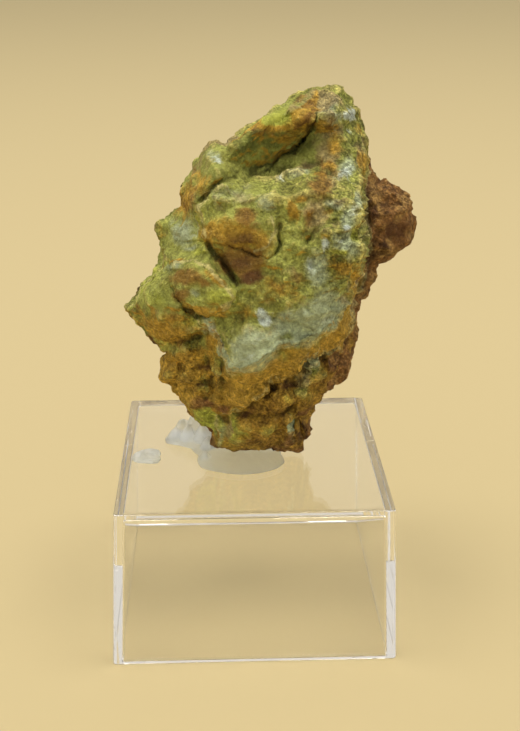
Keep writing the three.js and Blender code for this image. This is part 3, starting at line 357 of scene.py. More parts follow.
        (10.0, -19.6, 1.2, 1.8, -20, 0.8), (-5.5, -1.5, 1.6, 2.6, 35, 0.6), (9.6, -22.0, 0.8, 0.8, 0, 0.8),
        (-8.0, 18.2, 0.7, 1.6, 0, 0.5), (14.6, 32.0, 0.9, 0.7, 0, 0.9), (-10.8, -27.4, 2.2, 1.4, 0, 0.4),
        (17.0, 8.6, 0.8, 0.8, 0, 0.6), (4.6, -12.6, 1.6, 0.9, 15, 0.9), (8.0, 6.4, 1.4, 1.4, 0, 0.5),
        (15.6, 25.4, 0.7, 1.0, 0, 0.8),
    ],
}

# Places where the crumbs are coarser, and where they are finer: a, b, half sizes, turn, strength
ROUGH_PATCHES = {
    "wild": [
        (15.5, 8.0, 3.6, 12.0, 0, 0.9), (9.5, -19.0, 3.4, 4.0, -20, 1.2), (2.5, -24.0, 5.0, 3.6, 0, 0.9),
        (23.0, 13.0, 4.0, 3.4, 0, 1.0), (13.5, 31.0, 3.4, 2.6, 0, 0.8), (-12.5, -20.0, 5.0, 4.0, 0, 0.5),
        (3.0, -31.5, 5.0, 2.4, 0, 0.5), (22.0, 4.0, 2.0, 3.0, 0, 0.8), (5.5, 16.5, 4.0, 2.0, 0, 0.7),
        (16.6, 22.0, 2.4, 5.0, 0, 0.9),
    ],
    "smooth": [
        (-4.0, 0.8, 4.4, 3.8, 0, 0.9), (1.5, 21.5, 5.0, 3.4, 15, 0.7), (2.0, 28.0, 5.4, 1.8, 10, 0.7),
        (-2.0, -15.0, 6.0, 4.2, 35, 0.6), (9.0, -8.6, 6.0, 3.4, 15, 0.4), (-19.0, -6.0, 4.0, 4.0, 0, 0.5),
        (-9.4, 19.0, 4.0, 4.0, 30, 0.6), (-4.0, 12.6, 5.0, 3.0, 0, 0.4), (-15.2, 6.6, 3.6, 4.0, 0, 0.6),
        (-12.0, -2.5, 6.0, 4.0, -28, 0.5), (-4.0, 8.0, 6.0, 3.0, -8, 0.5), (25.0, 8.0, 3.0, 3.0, 0, 0.5),
        (8.4, 22.6, 2.6, 2.4, 30, 0.8),
    ],
}

# Glue on the top plate, from above and from the box's middle: outline, domes as x, y, radius, height, thickness of
# the pool between them, and the grid's points round and rings in. The dab beside it has fine drawn lines.
GLUE_CENTRE = np.array([-5.0, 2.0])
GLUE_OUTLINE = [
    (-9.6, -7.3), (-6, -9.3), (-2, -10.3), (2, -9.6), (5, -7.8), (6.3, -5.6), (5.8, -2), (5.2, 2), (3.5, 5.5),
    (-1, 7.8), (-7, 9.0), (-11, 9.4), (-15.0, 9.0), (-17.0, 6.0), (-16.6, 3.4), (-14, 2.4), (-11.6, 1.0),
    (-10.2, -2),
]
GLUE_DOMES = [
    (-15.0, 5.2, 1.9, 3.0), (-13.6, 7.4, 2.2, 4.4), (-12.4, 4.6, 1.8, 3.6), (-10.8, 6.8, 2.4, 5.8),
    (-9.6, 3.6, 1.8, 4.0), (-7.8, 5.0, 2.6, 6.4), (-8.4, 0.6, 1.8, 2.6), (-15.6, 7.2, 1.4, 2.4),
    (-9.0, -3.4, 1.4, 1.6),
]
GLUE_THICKNESS = 0.6
GLUE_GRID = (160, 44)
DAB_OUTLINE = [
    (-22.6, -4.3), (-20.4, -5.1), (-18.0, -5.0), (-17.8, -2.2), (-18.1, 0.6), (-20.2, 1.1), (-21.8, 0.2),
    (-23.0, -1.8),
]
DAB_THICKNESS = 0.5
DAB_LINES = 0.12
DAB_GRID = (96, 24)

# Stage: half side of the floor, and the camera's place from the middle of the box's foot
FLOOR_REACH = 4000.0
CAMERA_PLACE = (-6.5, -201.75, 130.7)

# Light: the tent and where it is brightest, the lamps in metres, and bounces enough to pass all the clear walls
TENT_COLOUR = "#FFF9EE"
TENT_TOP = (0, -0.26, 0.966)
LAMP_COLOUR = "#FFF6E6"
LAMP_SIZE = 0.6
LAMP_PLACES = [(-0.35, 0.0, 1.3), (0.35, 0.0, 1.3)]
LAMP_TARGET = (0, 0, 0.03)
LIGHT_BOUNCES = 32


def linear(hex_colour):
    """An sRGB hex colour as the linear values that Blender's sockets take."""
    parts = [int(hex_colour[k : k + 2], 16) / 255 for k in (1, 3, 5)]
    turned = [x / 12.92 if x <= 0.04045 else ((x + 0.055) / 1.055) ** 2.4 for x in parts]
    return (*turned, 1.0)


def above(x):
    """The part of a value over zero."""
    return np.maximum(x, 0)


def step(x, low, high):
    """0 below low, 1 above high, and a smooth rise between."""
    t = np.clip((x - low) / (high - low), 0, 1)
    return t * t * (3 - 2 * t)


def smooth_max(x, y, width):
    """The larger of two values, rounded over where they are within width of each other."""
    share = np.clip(0.5 + 0.5 * (x - y) / width, 0, 1)
    return y + (x - y) * share + width * share * (1 - share)


def smooth_min(x, y, width):
    """The smaller of two values, rounded over where they are within width of each other."""
    return -smooth_max(-x, -y, width)


def scatter(i, j, salt):
    """A fixed draw between 0 and 1 for each lattice point."""
    value = np.sin(i * 127.1 + j * 311.7 + salt * 74.7) * 43758.5453
    return value - np.floor(value)


def noise(x, y, size, salt):
    """Smooth value noise between -1 and 1 on a flat lattice of the given size."""
    i, j = np.floor(x / size), np.floor(y / size)
    u, v = step(x / size - i, 0, 1), step(y / size - j, 0, 1)
    near = scatter(i, j, salt) * (1 - u) + scatter(i + 1, j, salt) * u
    far = scatter(i, j + 1, salt) * (1 - u) + scatter(i + 1, j + 1, salt) * u
    return 2 * (near * (1 - v) + far * v) - 1


def roughness(x, y, size, salt):
    """Two octaves of the flat noise."""
    return (noise(x, y, size, salt) + 0.55 * noise(x, y, size / 2, salt + 7.3)) / 1.55


def noise_in_space(points, size, salt):
    """Smooth value noise between -1 and 1 on a cubic lattice of the given size."""
    cell = np.floor(points / size)
    u = step(points / size - cell, 0, 1)
    total = 0
    for layer in (0, 1):
        depth = u[:, 2] if layer else 1 - u[:, 2]
        z = (cell[:, 2] + layer) * 17.3 + salt
        near = scatter(cell[:, 0], cell[:, 1], z) * (1 - u[:, 0]) + scatter(cell[:, 0] + 1, cell[:, 1], z) * u[:, 0]
        y = cell[:, 1] + 1
        far = scatter(cell[:, 0], y, z) * (1 - u[:, 0]) + scatter(cell[:, 0] + 1, y, z) * u[:, 0]
        total = total + depth * (near * (1 - u[:, 1]) + far * u[:, 1])
    return 2 * total - 1


def line_at(x, points):
    """Height of a line of points at x, flat past its ends."""
    places, heights = np.array(points, float).T
    return np.interp(x, places, heights)


def near_line(a, b, points):
    """Distance to a broken line, and how far along the line the nearest place is, 0 to 1."""
    best = np.full(np.shape(a), np.inf)
    along = np.zeros(np.shape(a))
    for k in range(1, len(points)):
        (x0, y0), (x1, y1) = points[k - 1], points[k]
        dx, dy = x1 - x0, y1 - y0
        t = np.clip(((a - x0) * dx + (b - y0) * dy) / (dx * dx + dy * dy), 0, 1)
        distance = np.hypot(a - x0 - t * dx, b - y0 - t * dy)
        closer = distance < best
        best = np.where(closer, distance, best)
        along = np.where(closer, (k - 1 + t) / (len(points) - 1), along)
    return best, along


def outline_reach(angle, points, centre=(0, 0)):
    """Radius of an outline in the direction of an angle, straight in angle between its points."""
    x, y = (np.array(points, float) - centre).T
    return np.interp(angle, *zip(*sorted(zip(np.arctan2(y, x), np.hypot(x, y)))), period=2 * np.pi)


def boulder_height(a, b, form):
    """A roof over an ellipse: top, less the slopes away from the ridge, less the foot times the distance out."""
    (x, y), top, half, turn, slopes, foot, power = form
    angle = np.radians(turn)
    u = (a - x) * np.cos(angle) + (b - y) * np.sin(angle)
    v = (b - y) * np.cos(angle) - (a - x) * np.sin(angle)
    out = (np.abs(u / half[0]) ** 2.6 + np.abs(v / half[1]) ** 2.6) ** (power / 2.6)
    return top + slopes[0] * u - slopes[1] * above(v) - slopes[2] * above(-v) - foot * out


def plane_heights(a, b, planes):
    """The heights of some tilted planes at each place."""
    return [top + slopes[0] * (a - x) + slopes[1] * (b - y) for (x, y), top, slopes in planes]


def block_height(a, b, planes, width, joined=smooth_min):
    """The lowest of some tilted planes, with their edges rounded over the width, or joined another way."""
    first, *others = plane_heights(a, b, planes)
    for height in others:
        first = joined(first, height, width)
    return first


def warped(a, b):
    """Places moved by up to 0.8 mm, so that no form has a drawn edge."""
    moved_a = a + 0.55 * roughness(a, b, 5, 3) + 0.25 * roughness(a, b, 1.6, 4)
    moved_b = b + 0.55 * roughness(a, b, 5, 5) + 0.25 * roughness(a, b, 1.6, 6)
    return moved_a, moved_b


def under_line(a, b, line, size, salt):
    """How far a place lies under a ragged line, 0 over it."""
    return above(line_at(a, line) + 0.5 * noise(a, 0 * a, size, salt) - b)


def along_folds(a, b):
    """Places on a lattice that is turned and drawn out along the red rock's folds."""
    return 0.8 * a + 0.6 * b, (0.8 * b - 0.6 * a) / 2.2


def red_height(a, b):
    """The red-brown rock behind the green body: the lowest of four facets with sharp folds, or a rough low layer."""
    c = smooth_min(block_height(a, b, RED_FACETS, 0.3), RED_LIMIT, 0.3)
    folds = np.abs(noise(*along_folds(a, b), 1.3, 54))
    c = c + 0.9 * (0.5 - folds) * np.maximum(step(b - 0.5 * (a - 22), 8, 11), step(22.6 - a, 0, 1.5))
    return np.maximum(c + 0.35 * roughness(a, b, 1.5, 53), RED_LOW + 0.6 * roughness(a, b, 2.4, 51))


def ledges_run(a):
    """1 where the two ledges run, 0 left of them."""
    return step(a, -12, -9)


def under_ledges(a, b):
    """How far a place lies under the ragged upper ledge, and under the lower one."""
    return under_line(a, b, UPPER_LEDGE, 1.7, 11), under_line(a, b, LOWER_LEDGE, 2, 12)


def with_crest(c, a, b):
    """The surface with the crest: a lip that rises to its line and drops steeply under it, with a groove behind."""
    above_crest = b - line_at(a, CREST)
    lip = 8.8 - 0.12 * np.abs(a - 2) - 0.9 * above(above_crest) - 3.2 * above(-above_crest)
    along_crest = step(a, -6.8, -4.8) * (1 - step(a, 9.8, 11.2))
    c = c - 1.4 * along_crest * np.exp(-((above_crest - 1.6) ** 2))
    return c + (smooth_max(c, lip, 0.3) - c) * along_crest


def with_ledges(c, a, b):
    """The surface with the ledges: a raised rim over the upper one, a drop and a slope back under each, a plain drop
    left of them, and ragged beds in the layers below."""
    on_ledges = ledges_run(a)
    under_upper, under_lower = under_ledges(a, b)
    rim = np.exp(-np.abs(b - line_at(a, UPPER_LEDGE) - 0.3) / 0.8) * (under_upper == 0)
    c = c + on_ledges * 0.8 * rim
    c = c - on_ledges * (1.6 * step(under_upper, 0, 0.6) + 0.75 * np.clip(under_upper, 0, 6.5))
    c = c - on_ledges * (3 * step(under_lower, 0, 0.8) + 0.2 * np.clip(under_lower, 0, 6))
    c = c - (1 - on_ledges) * 3.4 * step(-b - 11.5 + 0.1 * (a + 14), 0, 2)
    beds = noise((0.86 * a + 0.5 * b) / 3.5, (0.86 * b - 0.5 * a), 1.5, 35)
    return c + 0.45 * beds * np.maximum(step(under_upper, 0.3, 2), (1 - on_ledges) * step(-b - 12, 0, 2))


def with_cracks(c, a, b):
    """The surface with the cracks: narrow grooves with soft shoulders along ragged lines, shallow at their ends."""
    ragged_a = a + 0.3 * roughness(a, b, 1.3, 21)
    ragged_b = b + 0.3 * roughness(a, b, 1.3, 22)
    for half, depth, line in CRACKS:
        distance, along = near_line(ragged_a, ragged_b, line)
        taper = np.sqrt(np.sin(np.pi * np.clip(0.92 * along + 0.04, 0, 1)))
        shoulders = 0.25 * np.exp(-((distance / (3 * half)) ** 2))
        c = c - depth * taper * (np.exp(-((distance / half) ** 2)) + shoulders)
    return c


def front_height(a0, b0):
    """The front surface: a broad dome that falls off to the top, the foot and the left, with hollows, boulders,
    blocks, the bowl, the crest, the ledges, low boulders, knobs, cracks and grain, and the red rock behind it."""
    a, b = warped(a0, b0)
    c = 15 - 0.0125 * (a - 2) ** 2 - 0.014 * above(b + 8) ** 1.75 - 0.02 * above(-b - 22) ** 2
    c = c - 0.3 * above(-a - 6)
    for (x, y), half, depth in HOLLOWS.values():
        c = c - depth * np.exp(-(((a - x) / half[0]) ** 2) - ((b - y) / half[1]) ** 2)
    for form in BOULDERS.values():
        c = smooth_max(c, boulder_height(a, b, form), 0.4)
    for planes in BLOCKS.values():
        c = smooth_max(c, block_height(a, b, planes, 0.6), 0.3)
    c = smooth_min(c, block_height(a, b, BOWL, 0.7, smooth_max), 0.4)
    c = with_ledges(with_crest(c, a, b), a, b)
    for form in LOW_BOULDERS.values():
        c = smooth_max(c, boulder_height(a, b, form), 0.45)
    for x, y, radius, height in KNOBS:
        q = ((a - x) ** 2 + (b - y) ** 2) / radius**2
        c = c + height * np.exp(-q * q if height > 0 else -q)
    c = with_cracks(c, a0, b0)
    c = c + 0.55 * roughness(a0, b0, 6, 31) + 0.32 * roughness(a0, b0, 2.2, 41)
    behind = 1 - step(line_at(b, RIGHT_EDGE) - a, -0.5, 0.5)
    return c * (1 - behind) + red_height(a, b) * behind


def back_blocks():
    """Blocks of the back, one in each cell of the grid, tilted every way."""
    blocks = []
    for i in range(-BACK_ROWS, BACK_ROWS + 1):
        for j in range(-BACK_ROWS, BACK_ROWS + 1):
            draw = [scatter(i, j, salt) for salt in range(10)]
            place = (BACK_GRID * (i + 0.7 * (draw[1] - 0.5)), BACK_GRID * (j + 0.7 * (draw[2] - 0.5)))
            half = (5 + 3 * draw[4], 4.5 + 2.5 * draw[5])
            slopes = (0.5 * (draw[7] - 0.5), 0.1 + 0.4 * draw[8], 0.1 + 0.4 * draw[9])
            blocks.append((place, 1 + 2.2 * draw[3], half, 180 * draw[6], slopes, 3, 3))
    return blocks


def back_height(a, b):
    """The back surface: a broad dome with the blocks standing on it."""
    a, b = warped(a, b)
    relief = 0 * a
    for form in back_blocks():
        relief = smooth_max(relief, boulder_height(a, b, form), 0.4)
    return -(BACK_DEPTH - 0.01 * (a - 1) ** 2 - 0.005 * (b - 2) ** 2 + relief + 0.4 * roughness(a, b, 2.4, 61))


def rim_height(a, b):
    """The rim where front and back meet: further back at the foot and on the right, further forward at the crest."""
    return -3 - 6 * step(-b, 20, 32) - 4 * step(a, 12, 20) + 8 * step(b, 18, 24) * (1 - step(a, 0, 5))


def placed(a, b, c):
    """From the face plane into space, pressed flat where a point would pass the foot's level."""
    scale = 1 - c / TAPER_LENGTH
    points = STONE_CENTRE + np.outer(a * scale, RIGHT) + np.outer(b * scale, UP) + np.outer(c, FORWARD)
    floor = BOX_HIGH[2] + FIT_GAP
    points[:, 2] = floor + FOOT_SOFTNESS * np.logaddexp(0, (points[:, 2] - floor) / FOOT_SOFTNESS)
    return points


def sphere_grid(cells):
    """Directions on the six faces of a cube, evenly spaced in angle, with their shared points merged."""
    t = np.tan(np.linspace(-np.pi / 4, np.pi / 4, cells + 1))
    u, v = np.meshgrid(t, t, indexing="ij")
    one = np.ones_like(u)
    sides = [(one, u, v), (-one, v, u), (v, one, u), (u, -one, v), (u, v, one), (v, u, -one)]
    points = np.concatenate([np.stack(side, -1).reshape(-1, 3) for side in sides])
    grid = np.arange((cells + 1) ** 2).reshape(cells + 1, cells + 1)
    quads = np.stack([grid[:-1, :-1], grid[1:, :-1], grid[1:, 1:], grid[:-1, 1:]], -1).reshape(-1, 4)
    quads = np.concatenate([quads + k * grid.size for k in range(6)])
    _, first, merged = np.unique(np.round(points * 1e5).astype(int), axis=0, return_index=True, return_inverse=True)
    directions = points[first]
    return directions / np.linalg.norm(directions, axis=1, keepdims=True), merged.reshape(-1)[quads]


def stone_places(directions):
    """Each direction's a, b, c: inside the outline by the sine of its angle from straight ahead, forward by the
    front height or back by the back height, both rounded over to the rim."""
    angle = np.arctan2(directions[:, 1], directions[:, 0])
    spread = np.minimum(np.hypot(directions[:, 0], directions[:, 1]), 1) ** SPREAD_POWER
    exact = outline_reach(angle, OUTLINE)
    even = np.mean([outline_reach(angle + turn, OUTLINE) for turn in np.arange(-3, 4) * 0.06], axis=0)
    reach = even + (exact - even) * spread**6
    a, b = reach * spread * np.cos(angle), reach * spread * np.sin(angle)
    rim = rim_height(reach * np.cos(angle), reach * np.sin(angle))
    lift = above(1 - spread**4) ** 0.4
    surface = np.where(directions[:, 2] >= 0, front_height(a, b), back_height(a, b))
    c = rim + lift * (surface - rim)
    inset = 1 - 0.05 * (0.5 + 0.5 * noise(12 * angle, c, 5, 71)) * np.minimum(1, np.abs(c - rim) / 4)
    return a * inset, b * inset, c


def vertex_normals(points, quads):
    """Area-weighted normals of a closed mesh of quads."""
    across = np.cross(points[quads[:, 2]] - points[quads[:, 0]], points[quads[:, 3]] - points[quads[:, 1]])
    normals = np.stack(
        [np.bincount(quads.ravel(), np.repeat(across[:, k], 4), len(points)) for k in range(3)], axis=1
    )
    return normals / (np.linalg.norm(normals, axis=1, keepdims=True) + 1e-12)


def evened(values, quads, rounds):
    """Values averaged over their neighbours, a number of rounds."""
    pairs = np.concatenate([quads[:, [k, (k + 1) % 4]] for k in range(4)])
    ends, others = np.concatenate([pairs, pairs[:, ::-1]]).T
    count = np.bincount(ends, minlength=len(values))
    for _ in range(rounds):
        values = np.stack(
            [np.bincount(ends, values[others, k], len(values)) / count for k in range(values.shape[1])], axis=1
        )
    return values


def patch_strength(a, b, patches):
    """The strongest of some soft-edged ellipses at each place."""
    strength = np.zeros_like(a)
    for x, y, half_a, half_b, turn, weight in patches:
        angle = np.radians(turn)
        u = ((a - x) * np.cos(angle) + (b - y) * np.sin(angle)) / half_a
        v = ((b - y) * np.cos(angle) - (a - x) * np.sin(angle)) / half_b
        strength = np.maximum(strength, weight * np.exp(-(u * u + v * v)))
    return strength


def chips(points, size, salt):
    """Dished chips with sharp ridges between them, about 0 to 1: each jittered lattice cell has a tilted bowl, and
    the lowest bowl counts."""
    cell = np.floor(points / size)
    lowest = np.full(len(points), np.inf)
    for shift in np.ndindex(3, 3, 3):
        corner = cell + shift - 1
        row = corner[:, 0] + 57 * corner[:, 2]
        draws = np.stack([scatter(row, corner[:, 1], salt + k) for k in range(7)], axis=1)
        away = points / size - corner - draws[:, :3]
        bowl = draws[:, 6] + np.sum(away * (draws[:, 3:6] - 0.5), axis=1) * 1.4 + 1.2 * np.sum(away**2, axis=1)
        lowest = np.minimum(lowest, bowl)
    return lowest


def crumbs(points, rough):
    """How far crumbs stand out, in mm: chips of two sizes, two octaves of plain noise, two of folded noise, round on
    top with a crease between neighbours, and on the rough places sharp folds, highest where the noise is zero."""
    swell = 0.24 * noise_in_space(points, 3.1, 97) + 0.2 * noise_in_space(points, 1.6, 53)
    grit = 0.15 * np.abs(noise_in_space(points, 1.0, 31)) + 0.1 * np.abs(noise_in_space(points, 0.6, 17)) - 0.07
    folds = 0.55 - 2 * np.abs(noise_in_space(points * (1, 1, 1.7), 3.6, 7.7))
    coarse = chips(points * (1, 1, 1.3), COARSE_CHIP, 5) - CHIP_MEAN
    broken = 0.8 * coarse + 0.32 * (chips(points, FINE_CHIP, 23) - CHIP_MEAN)
    return (0.5 + 0.5 * rough) * (0.8 * swell + 1.8 * grit) + (0.15 + 0.85 * rough) * broken + 0.25 * rough * folds


def along_line(x, y, line, width):
    """1 on a line of points, falling off to each side, and 0 past its ends."""
    inside = (x > line[0][0]) & (x < line[-1][0])
    return inside * np.exp(-(((y - line_at(x, line)) / width) ** 2))


def stone_shape(cells, grain):
    """The stone's points and faces, with the a, b, c of each point, if it is on the front half, and how rough it is
    there. Its crumbs stand out along the normals by the grain."""
    directions, quads = sphere_grid(cells)
    ahead = directions[:, 2] > 0
    a, b, c = stone_places(directions)
    points = placed(a, b, c)
    normals = vertex_normals(points, quads)
    if np.sum(normals * (points - STONE_CENTRE)) < 0:
        quads = quads[:, ::-1]
        normals = -normals
    wild, smooth = (patch_strength(a, b, ROUGH_PATCHES[name]) for name in ("wild", "smooth"))
    rough = 1 + ahead * (wild - smooth)
    rough = rough + 0.35 * np.exp(-(((c - rim_height(a, b)) / 3) ** 2))
    points = points + normals * (grain * crumbs(points, rough))[:, None]
    points[:, 2] = np.maximum(points[:, 2], BOX_HIGH[2] + LEAST_GAP)
    return points, quads, (a, b, c), ahead, rough


def lay(masks, name, strength):
    """Raises a mask to a strength, where it is weaker."""
    masks[name] = np.maximum(masks[name], strength)


def stain_back(masks, points, front, red, c):
    """The back is red-brown rock, with tan and dark clouds that drift over it."""
    behind = 1 - front
    lay(masks, "rust", np.maximum(red, behind * step(-c, 4, 9)))
    drift = noise_in_space(points, 9.0, 37) + 0.5 * noise_in_space(points, 3.0, 41)
    masks["rust"] = masks["rust"] * (1 - 0.75 * behind * step(drift, 0.25, 0.6))
    lay(masks, "tan", behind * step(drift, 0.3, 0.7))
    lay(masks, "umber", 0.8 * behind * step(-drift, 0.25, 0.7))


def stain_ledges(masks, a, b, normals):
    """Ochre on all that lies under the upper ledge or hangs, brown under the lower ledge, neither on the green."""
    on_ledges = ledges_run(a)
    under_upper, under_lower = under_ledges(a, b)
    lower = np.maximum(on_ledges * step(under_upper, 0.0, 0.4), (1 - on_ledges) * step(-b - 13, 0, 3))
    deeper = on_ledges * step(under_lower, 0.1, 1.5)
    hanging = step(-normals[:, 2], 0.1, 0.6)
    green = np.clip(masks["lime"] + masks["pale"], 0, 1)
    lay(masks, "ochre", np.maximum(0.95 * lower, 0.7 * hanging) * (1 - 0.9 * green))
    lay(masks, "brown", 0.55 * deeper * (1 - green))


def stain_and_shade_crest(masks, a, b, front):
    """The crest's lip is lime in the middle and ochre at its ends and under it, and the wall below is brown and
    umber, partly stain and partly painted shade under the overhanging lip.
    """
    below = line_at(a, CREST) - b
    on_crest = front * step(a, -6.8, -5.5) * (1 - step(a, 9.6, 11))
    lip = np.exp(-(((below + 0.6) / 1.1) ** 2))
    lay(masks, "lime", on_crest * 1.3 * lip * (1 - step(a, 5, 8)))
    lay(masks, "ochre", on_crest * 1.2 * lip * np.maximum(step(a, 5, 7), step(-a, 2, 4)))
    lay(masks, "ochre", on_crest * 0.9 * np.exp(-(((below - 0.6) / 0.7) ** 2)))
    # Brown and umber on the wall under the lip: partly stain, partly painted shade under the overhang
    wall = step(below, 0.5, 1.1) * (1 - step(below, 1.8, 3.4))
    right_arm = step(a, 4, 8)
    lay(masks, "brown", on_crest * (0.35 + 0.4 * right_arm) * wall)
    lay(masks, "umber", on_crest * (0.3 + 0.3 * right_arm) * wall)


def painted_rim_highlights(a, b, front):
    """Where the rims' painted highlight goes: 1 on the ledges, the right edge and the blocks' rims, falling off to
    each side.
    """
    edges = [along_line(a, b, UPPER_LEDGE, 0.45), 0.9 * along_line(a, b, LOWER_LEDGE, 0.4)]
    edges.append(0.9 * along_line(b, a, RIGHT_EDGE, 0.4) * step(b, -20, -14))
    edges.extend(np.exp(-((near_line(a, b, rim)[0] / 0.4) ** 2)) for rim in RIMS)
    return front * np.max(edges, axis=0)


def stone_masks(points, quads, places, ahead, rough):
    """How strong each colour is at each point: patches, stains by place and slope, and painted highlight and
    painted shade by how far the point lies over or under its evened neighbourhood, near, wide and far, with
    painted shade along the cracks too."""
    a, b, c = places
    normals = vertex_normals(points, quads)
    once = evened(points, quads, 3)
    twice = evened(once, quads, 21)
    thrice = evened(twice, quads, 110)
    close, wide, far = (np.sum((points - even) * normals, axis=1) for even in (once, twice, thrice))
    front = step(c - rim_height(a, b), 0.5, 3.0) * ahead
    moved_a, moved_b = warped(a, b)
    turned_away = step(1 - np.abs(normals @ FORWARD), 0.45, 0.85)
    moved_a = moved_a + 1.6 * turned_away * noise_in_space(points, 4.0, 23)
    moved_b = moved_b + 2.4 * turned_away * noise_in_space(points, 4.0, 29)
    masks = {name: front * patch_strength(moved_a, moved_b, spots) for name, spots in COLOUR_PATCHES.items()}
    red = 1 - step(line_at(moved_b, RIGHT_EDGE) - moved_a, -0.4, 0.6)
    stain_back(masks, points, front, red, c)
    stain_ledges(masks, moved_a, moved_b, normals)
    stain_and_shade_crest(masks, moved_a, moved_b, front)
    over = moved_b - line_at(moved_a, UPPER_LEDGE)
    bared = front * ledges_run(moved_a) * step(over, -0.1, 0.2) * (1 - step(over, 1.2, 4.0)) * (moved_a < 16)
    lay(masks, "pale", 0.9 * bared)
    folds = np.abs(noise(*along_folds(moved_a, moved_b), 1.3, 54))
    lay(masks, "flake", 0.8 * masks["rust"] * step(0.5 - folds, 0.1, 0.45))
    masks["coarse"] = np.clip(rough, 0.5, 1.5)
    # Painted shade: darker colour where the point lies under its evened neighbourhood, near, wide and far
    masks["crevice"] = step(-close, 0.02, 0.2) * 0.5 + step(-wide, 0.15, 1.2) * 0.8 + step(-far, 0.3, 2.2) * 0.7
    # More painted shade along the cracks
    for _, depth, line in CRACKS:
        distance, _ = near_line(moved_a, moved_b, line)
        lay(masks, "crevice", 0.7 * front * depth * np.exp(-((distance / 0.3) ** 2)))
    # Painted highlight along the ledges, the right edge and the blocks' rims
    masks["edge"] = painted_rim_highlights(moved_a, moved_b, front)
    # Painted highlight where the point stands over its evened neighbourhood
    masks["ridge"] = step(close, 0.02, 0.12) * 0.4 + step(wide, 0.15, 0.9) * 0.5 + step(far, 0.2, 1.4) * 0.5
    return masks


def mesh_object(name, points, faces, smooth=True, masks=None):
    """An object at the origin from points in millimetres, with its float attributes."""
    mesh = bpy.data.meshes.new(name)
    corners = faces.shape[1]
    mesh.vertices.add(len(points))
    mesh.vertices.foreach_set("co", (points * MM).astype(np.float32).ravel())
    mesh.loops.add(faces.size)
    mesh.loops.foreach_set("vertex_index", faces.astype(np.int32).ravel())
    mesh.polygons.add(len(faces))
    mesh.polygons.foreach_set("loop_start", np.arange(0, faces.size, corners, dtype=np.int32))
    mesh.polygons.foreach_set("use_smooth", np.full(len(faces), smooth))
    for attribute, values in (masks or {}).items():
        layer = mesh.attributes.new(attribute, "FLOAT", "POINT")
        layer.data.foreach_set("value", np.clip(values, 0, 1.5).astype(np.float32))
    mesh.update(calc_edges=True)
    mesh.validate()
    piece = bpy.data.objects.new(name, mesh)
    bpy.context.scene.collection.objects.link(piece)
    return piece


def add_node(tree, kind, inputs=None, **settings):
    """Adds one node: settings are its own properties, inputs its socket values or the sockets linked to them."""
    node = tree.nodes.new(kind)
    for name, value in settings.items():
        setattr(node, name, value)
    for key, value in (inputs or {}).items():
        if isinstance(value, bpy.types.NodeSocket):
            tree.links.new(value, node.inputs[key])
        else:
            node.inputs[key].default_value = value
    return node


def new_material(name):
    """A material with an empty tree and its shader, linked to the output."""
    material = bpy.data.materials.new(name)
    material.use_nodes = True
    tree = material.node_tree
    tree.nodes.clear()
    shader = add_node(tree, "ShaderNodeBsdfPrincipled")
    add_node(tree, "ShaderNodeOutputMaterial", {"Surface": shader.outputs["BSDF"]})
    return material, tree, shader


# Noise of the stone: name, size of its largest blots in mm, detail, roughness. The mineral's own fibres are finer
# than 0.1 mm and wouldn't show, so the grains, and the strands in the material, are drawn several times as coarse.
STONE_PATTERNS = [
    ("patches", 8.0, 4.0, 0.6),
    ("clods", 2.6, 5.0, 0.65),
    ("crumbs", 1.2, 5.0, 0.72),
    ("grains", 0.5, 3.0, 0.6),
]

# Colours laid over each other: colour, mask, pattern that frays its edge and how much, mask values where it starts
# and is full, and its most
STONE_LAYERS = [
    ("moss_light", None, "patches", 1.0, -0.15, 0.12, 1.0),
    ("deep", None, "clods", -1.0, 0.08, 0.28, 0.6),
    # Painted highlight on the ridges
    ("ridge", "ridge", "crumbs", 1.4, 0.25, 1.1, 0.8),
    ("pale", "pale", "clods", 1.0, 0.2, 0.75, 0.95),
    ("deep", "deep", "clods", 0.9, 0.2, 0.85, 0.9),
    ("lime", "lime", "clods", 0.9, 0.2, 0.8, 0.92),
    ("tan", "tan", "clods", 1.6, 0.2, 0.8, 0.85),
    ("ochre", "ochre", "clods", 1.5, 0.15, 0.75, 0.93),
    ("brown", "brown", "clods", 1.2, 0.2, 0.8, 0.9),
    ("rust", "rust", "clods", 1.0, 0.2, 0.8, 1.0),
    ("rust_light", "flake", "crumbs", 1.6, 0.2, 1.0, 0.85),
    ("umber", "umber", "clods", 1.2, 0.2, 0.9, 0.9),
    # Painted highlight on the rims
    ("edge", "edge", "crumbs", 1.8, 0.2, 1.1, 0.8),
    # Painted shade in the crevices, hollows and cracks
    ("shade", "crevice", "crumbs", 1.2, 0.42, 2.0, 0.78),
    ("blue", "blue", "crumbs", 2.2, 0.35, 1.3, 0.85),
    # Cream specks on the grains' tops: partly bare clay, partly painted highlight
    ("cream", None, "grains", 1.0, 0.1, 0.25, 0.3),
]

# Painted light and shade in the colour: the crumbs, grains and strands, which also make the relief, lighten its tops
# and darken its pits, and the flakes vary the tone at random. How each pattern darkens and lightens the colours:
# name, its low and high values, darkest, brightest
STONE_LIGHT = [
    ("crumbs", 0.3, 0.7, -0.36, 0.42),
    ("grains", 0.3, 0.7, -0.24, 0.28),
    ("strands", 0.3, 2.2, -0.22, 0.36),
    ("flakes", 0.0, 1.0, -0.14, 0.22),
]


